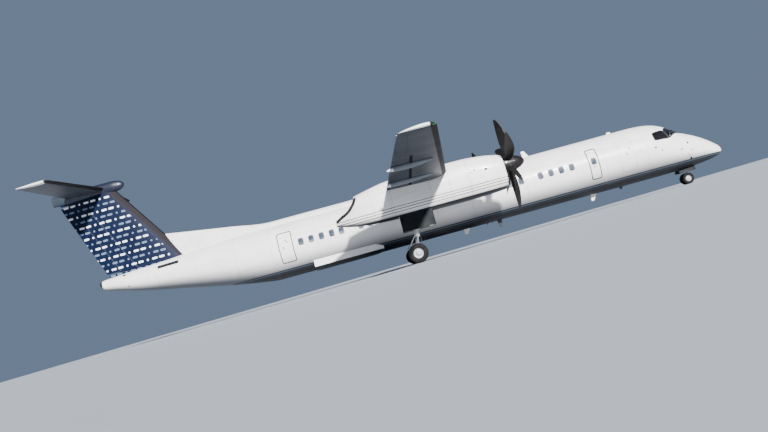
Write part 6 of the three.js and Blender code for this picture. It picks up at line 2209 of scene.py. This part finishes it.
BEACONS = [
    # place, direction, radius, height
    ((15.2, 0.0, 1.612), (0, 0, 1), 0.055, 0.075),
    ((12.1, 0.0, -1.343), (0, 0, -1), 0.055, 0.07),
    ((30.85, 0.0, 5.690), (0, 0, 1), 0.05, 0.07),
]
TIP_LENS = [
    # span, share of the thickness
    (14.125, 1.0),
    (14.15, 1.0),
    (14.175, 1.0),
    (14.198, 0.8),
]
REAR_LAMP = (13.98, 0.985)  # span and share of the wing's chord
LANDING_LAMP = (5.9, 0.012)
NACELLE_LAMP = (12.35, -12.0)  # station and angle on the nacelle


def lamp_lenses():
    lenses = Shape()
    for place, out, radius, tall in BEACONS:
        dome(lenses, place, out, radius, tall, 0)
    for side, finish in ((1, 0), (-1, 1)):
        lenses.grid([[on_surface(WING, span, 0.10 * t * t, 1 if t > 0 else -1, side, 0.0, thin, 0.002 * thin)
                      for t in np.linspace(-1, 1, 15)] for span, thin in TIP_LENS], finish)
        dome(lenses, on_surface(WING, *REAR_LAMP, 0, side), (1, 0, 0), 0.022, 0.04, 2, 16)
        dome(lenses, on_nacelle(side, *NACELLE_LAMP, 0.0)[0], (0, side, -0.1), 0.03, 0.02, 2, 18)
        dome(lenses, on_surface(WING, *LANDING_LAMP, 0, side), (-1, 0, -0.1), 0.06, 0.02, 2)
    piece("lamp_lenses", lenses, [RED_LAMP, GREEN_LAMP, CLEAR_LAMP], sharp=40)


def tail_lamp():
    lamp = Shape()
    tube(lamp, FUSELAGE, lines((31.304, 31.45, 10)), 40)
    dome(lamp, (31.43, 0.0, 0.745), (1, 0, 0), 0.085, 0.018, 1)
    piece("tail_lamp", lamp, [LAMP_BLACK, CLEAR_LAMP], replaces="tail_light", slot="lamp_black")


WICKS = [
    # piece, body, table, spans, side
    ("aileron_left", "aileron_left", WING, (12.9, 13.3, 13.7), 1),
    ("aileron_right", "aileron_right", WING, (12.9, 13.3, 13.7), -1),
    ("elevator_left", "elevator_left", TAILPLANE, (3.2, 3.7, 4.2), 1),
    ("elevator_right", "elevator_right", TAILPLANE, (3.2, 3.7, 4.2), -1),
    ("rudder", "trailing_rudder", FIN, (3.4, 4.0, 4.6), 1),
]


def wicks():
    for name, body, table, spans, side in WICKS:
        shape = Shape()
        for span in spans:
            at = on_surface(table, span, 0.995, 0, side)
            hose(shape, [at, at + (0.05, 0, 0), at + (0.11, 0, -0.002)], 0.0035, 0, 8)
        piece(f"{name}_wicks", shape, [LAMP_BLACK], body=body)


PITOTS = ((1.86, -0.52), (2.02, -0.70))
PITOT_LONG = 0.17
VANE = (2.30, -0.40)
DRAINS = [
    # station, angle round the skin, drop
    (16.8, 262, 0.03),
    (17.9, 270, 0.04),
    (19.0, 278, 0.05),
]


def probes_and_drains():
    shape = Shape()
    for side in (1, -1):
        for place in PITOTS:
            foot, out = skin_at(*place, side, -0.01)[0], skin_at(*place, side, 0.07)[0]
            tip = out + (-PITOT_LONG, 0, 0)
            hose(shape, smooth([foot, between(foot, out, 0.7), out + (-0.03, 0, 0), tip], 14), 0.009, 0, 12)
            bar(shape, tip + (-0.02, 0, 0), tip, 0.006, 0, 12)
        vane = skin_at(*VANE, side, -0.002)[0]
        out = unit(skin_at(*VANE, side, 1.0)[0] - vane)
        turned(shape, vane, vane + out, [(0, 0.04), (0.006, 0.04), (0.01, 0.034)])
        high = vane + out * 0.05
        hose(shape, [vane, vane + out * 0.03, high + (0.06, 0, 0), high + (0.10, 0, 0)], 0.006, 0, 8)
    for station, degrees, drop in DRAINS:
        at = skin(station, degrees, -0.004)
        hose(shape, [at, at + (0.01, 0, -drop), at + (0.05, 0, -drop * 1.4)], 0.008)
    piece("probes_and_drains", shape, [STEEL])


def leftover_nodes():
    """The CAD nodes that stay in the scene get a worn finish too."""
    for name in ("engine_left", "engine_right"):
        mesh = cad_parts[name].data
        mesh.materials.clear()
        mesh.materials.append(STEEL)


fuselage()
skin_details()
cockpit()
airstair_door()
vestibule()
antennas()
lamp_lenses()
tail_lamp()
wicks()
probes_and_drains()
fairings()
wings()
fin_and_rudders()
tailplane()
for name, side in SIDES:
    nacelle(name, side)
    nacelle_details(name, side)
    propeller(name, side)
    main_gear(name, side)
nose_gear()
leftover_nodes()


# Stage

FLOOR_RADIUS = 420.0
FLOOR_SIDES = 96
VIEW = {"distance": 34.0, "height": 0.15, "yaw": 1.0, "roll": 16.4, "pixels": 20.15, "width": 768.0}
AIM_AT = (16.4, 0.0, 0.5)
AIM_PIXEL = (394.0, 210.5)
FRAME_CENTRE = (384.0, 216.0)
LAMPS = [
    # name, azimuth, elevation, strength, angle
    ("key_sun", 16.0, 25.0, 12.0, 3.0),
    ("top_sun", -20.0, 70.0, 0.1, 30.0),
]
SKY_COLOUR = (0.50, 0.68, 1.0, 1.0)
SKY_STRENGTH = 0.3
SENSOR_WIDTH = 36.0


def floor():
    points = FLOOR_RADIUS * circle(FLOOR_SIDES, np.array([1, 0, 0]), ACROSS)
    mesh = bpy.data.meshes.new("floor")
    mesh.from_pydata(points.tolist(), [], [tuple(range(FLOOR_SIDES))])
    finish = Finish("floor_paint")
    tint = finish.mix(finish.noise(0.35, 3.0), tone("a6aab1"), tone("a2a6ad"))
    mesh.materials.append(finish.shown(tint, finish.spread(finish.noise(0.6), 0.75, 0.85)))
    linked("floor", mesh)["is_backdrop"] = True


def lights():
    for name, azimuth, elevation, strength, angle in LAMPS:
        data = bpy.data.lights.new(name, "SUN")
        data.energy = strength
        data.angle = math.radians(angle)
        obj = linked(name, data)
        a, e = math.radians(azimuth), math.radians(elevation)
        towards = Vector((math.sin(a) * math.cos(e), -math.cos(a) * math.cos(e), math.sin(e)))
        obj.rotation_mode = "QUATERNION"
        obj.rotation_quaternion = towards.to_track_quat("Z", "Y")
        obj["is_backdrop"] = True
    world = bpy.data.worlds.new("studio")
    world.use_nodes = True
    sky = world.node_tree.nodes["Background"]
    sky.inputs["Color"].default_value = SKY_COLOUR
    sky.inputs["Strength"].default_value = SKY_STRENGTH
    bpy.context.scene.world = world


def camera():
    """Stands at floor level, a little behind abeam on the right side, rolled as the photograph is."""
    data = bpy.data.cameras.new("camera")
    yaw, roll = math.radians(VIEW["yaw"]), math.radians(VIEW["roll"])
    subject = Vector(placed([AIM_AT])[0])
    spot = subject + VIEW["distance"] * Vector((-math.sin(yaw), -math.cos(yaw), 0.0))
    spot.z = VIEW["height"]
    towards = (subject - spot).normalized()
    level = towards.cross(Vector((0.0, 0.0, 1.0))).normalized()
    upright = level.cross(towards)
    right = level * math.cos(roll) - upright * math.sin(roll)
    up = upright * math.cos(roll) + level * math.sin(roll)
    off_x = (AIM_PIXEL[0] - FRAME_CENTRE[0]) / VIEW["pixels"]
    off_y = (FRAME_CENTRE[1] - AIM_PIXEL[1]) / VIEW["pixels"]
    towards = (subject - off_x * right - off_y * up - spot).normalized()
    right = (right - towards * right.dot(towards)).normalized()
    up = right.cross(towards)
    obj = linked("camera", data)
    obj.matrix_world = Matrix((right, up, -towards)).transposed().to_4x4()
    obj.location = spot
    data.sensor_width = SENSOR_WIDTH
    data.lens = VIEW["pixels"] * VIEW["distance"] * SENSOR_WIDTH / VIEW["width"]
    data.clip_start, data.clip_end = 0.1, 2000.0
    bpy.context.scene.camera = obj


def corners(found):
    return [list(corner) for corner in found]


floor()
lights()
camera()
{"cad": corners(cad_bounds), "visual": corners(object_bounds())}
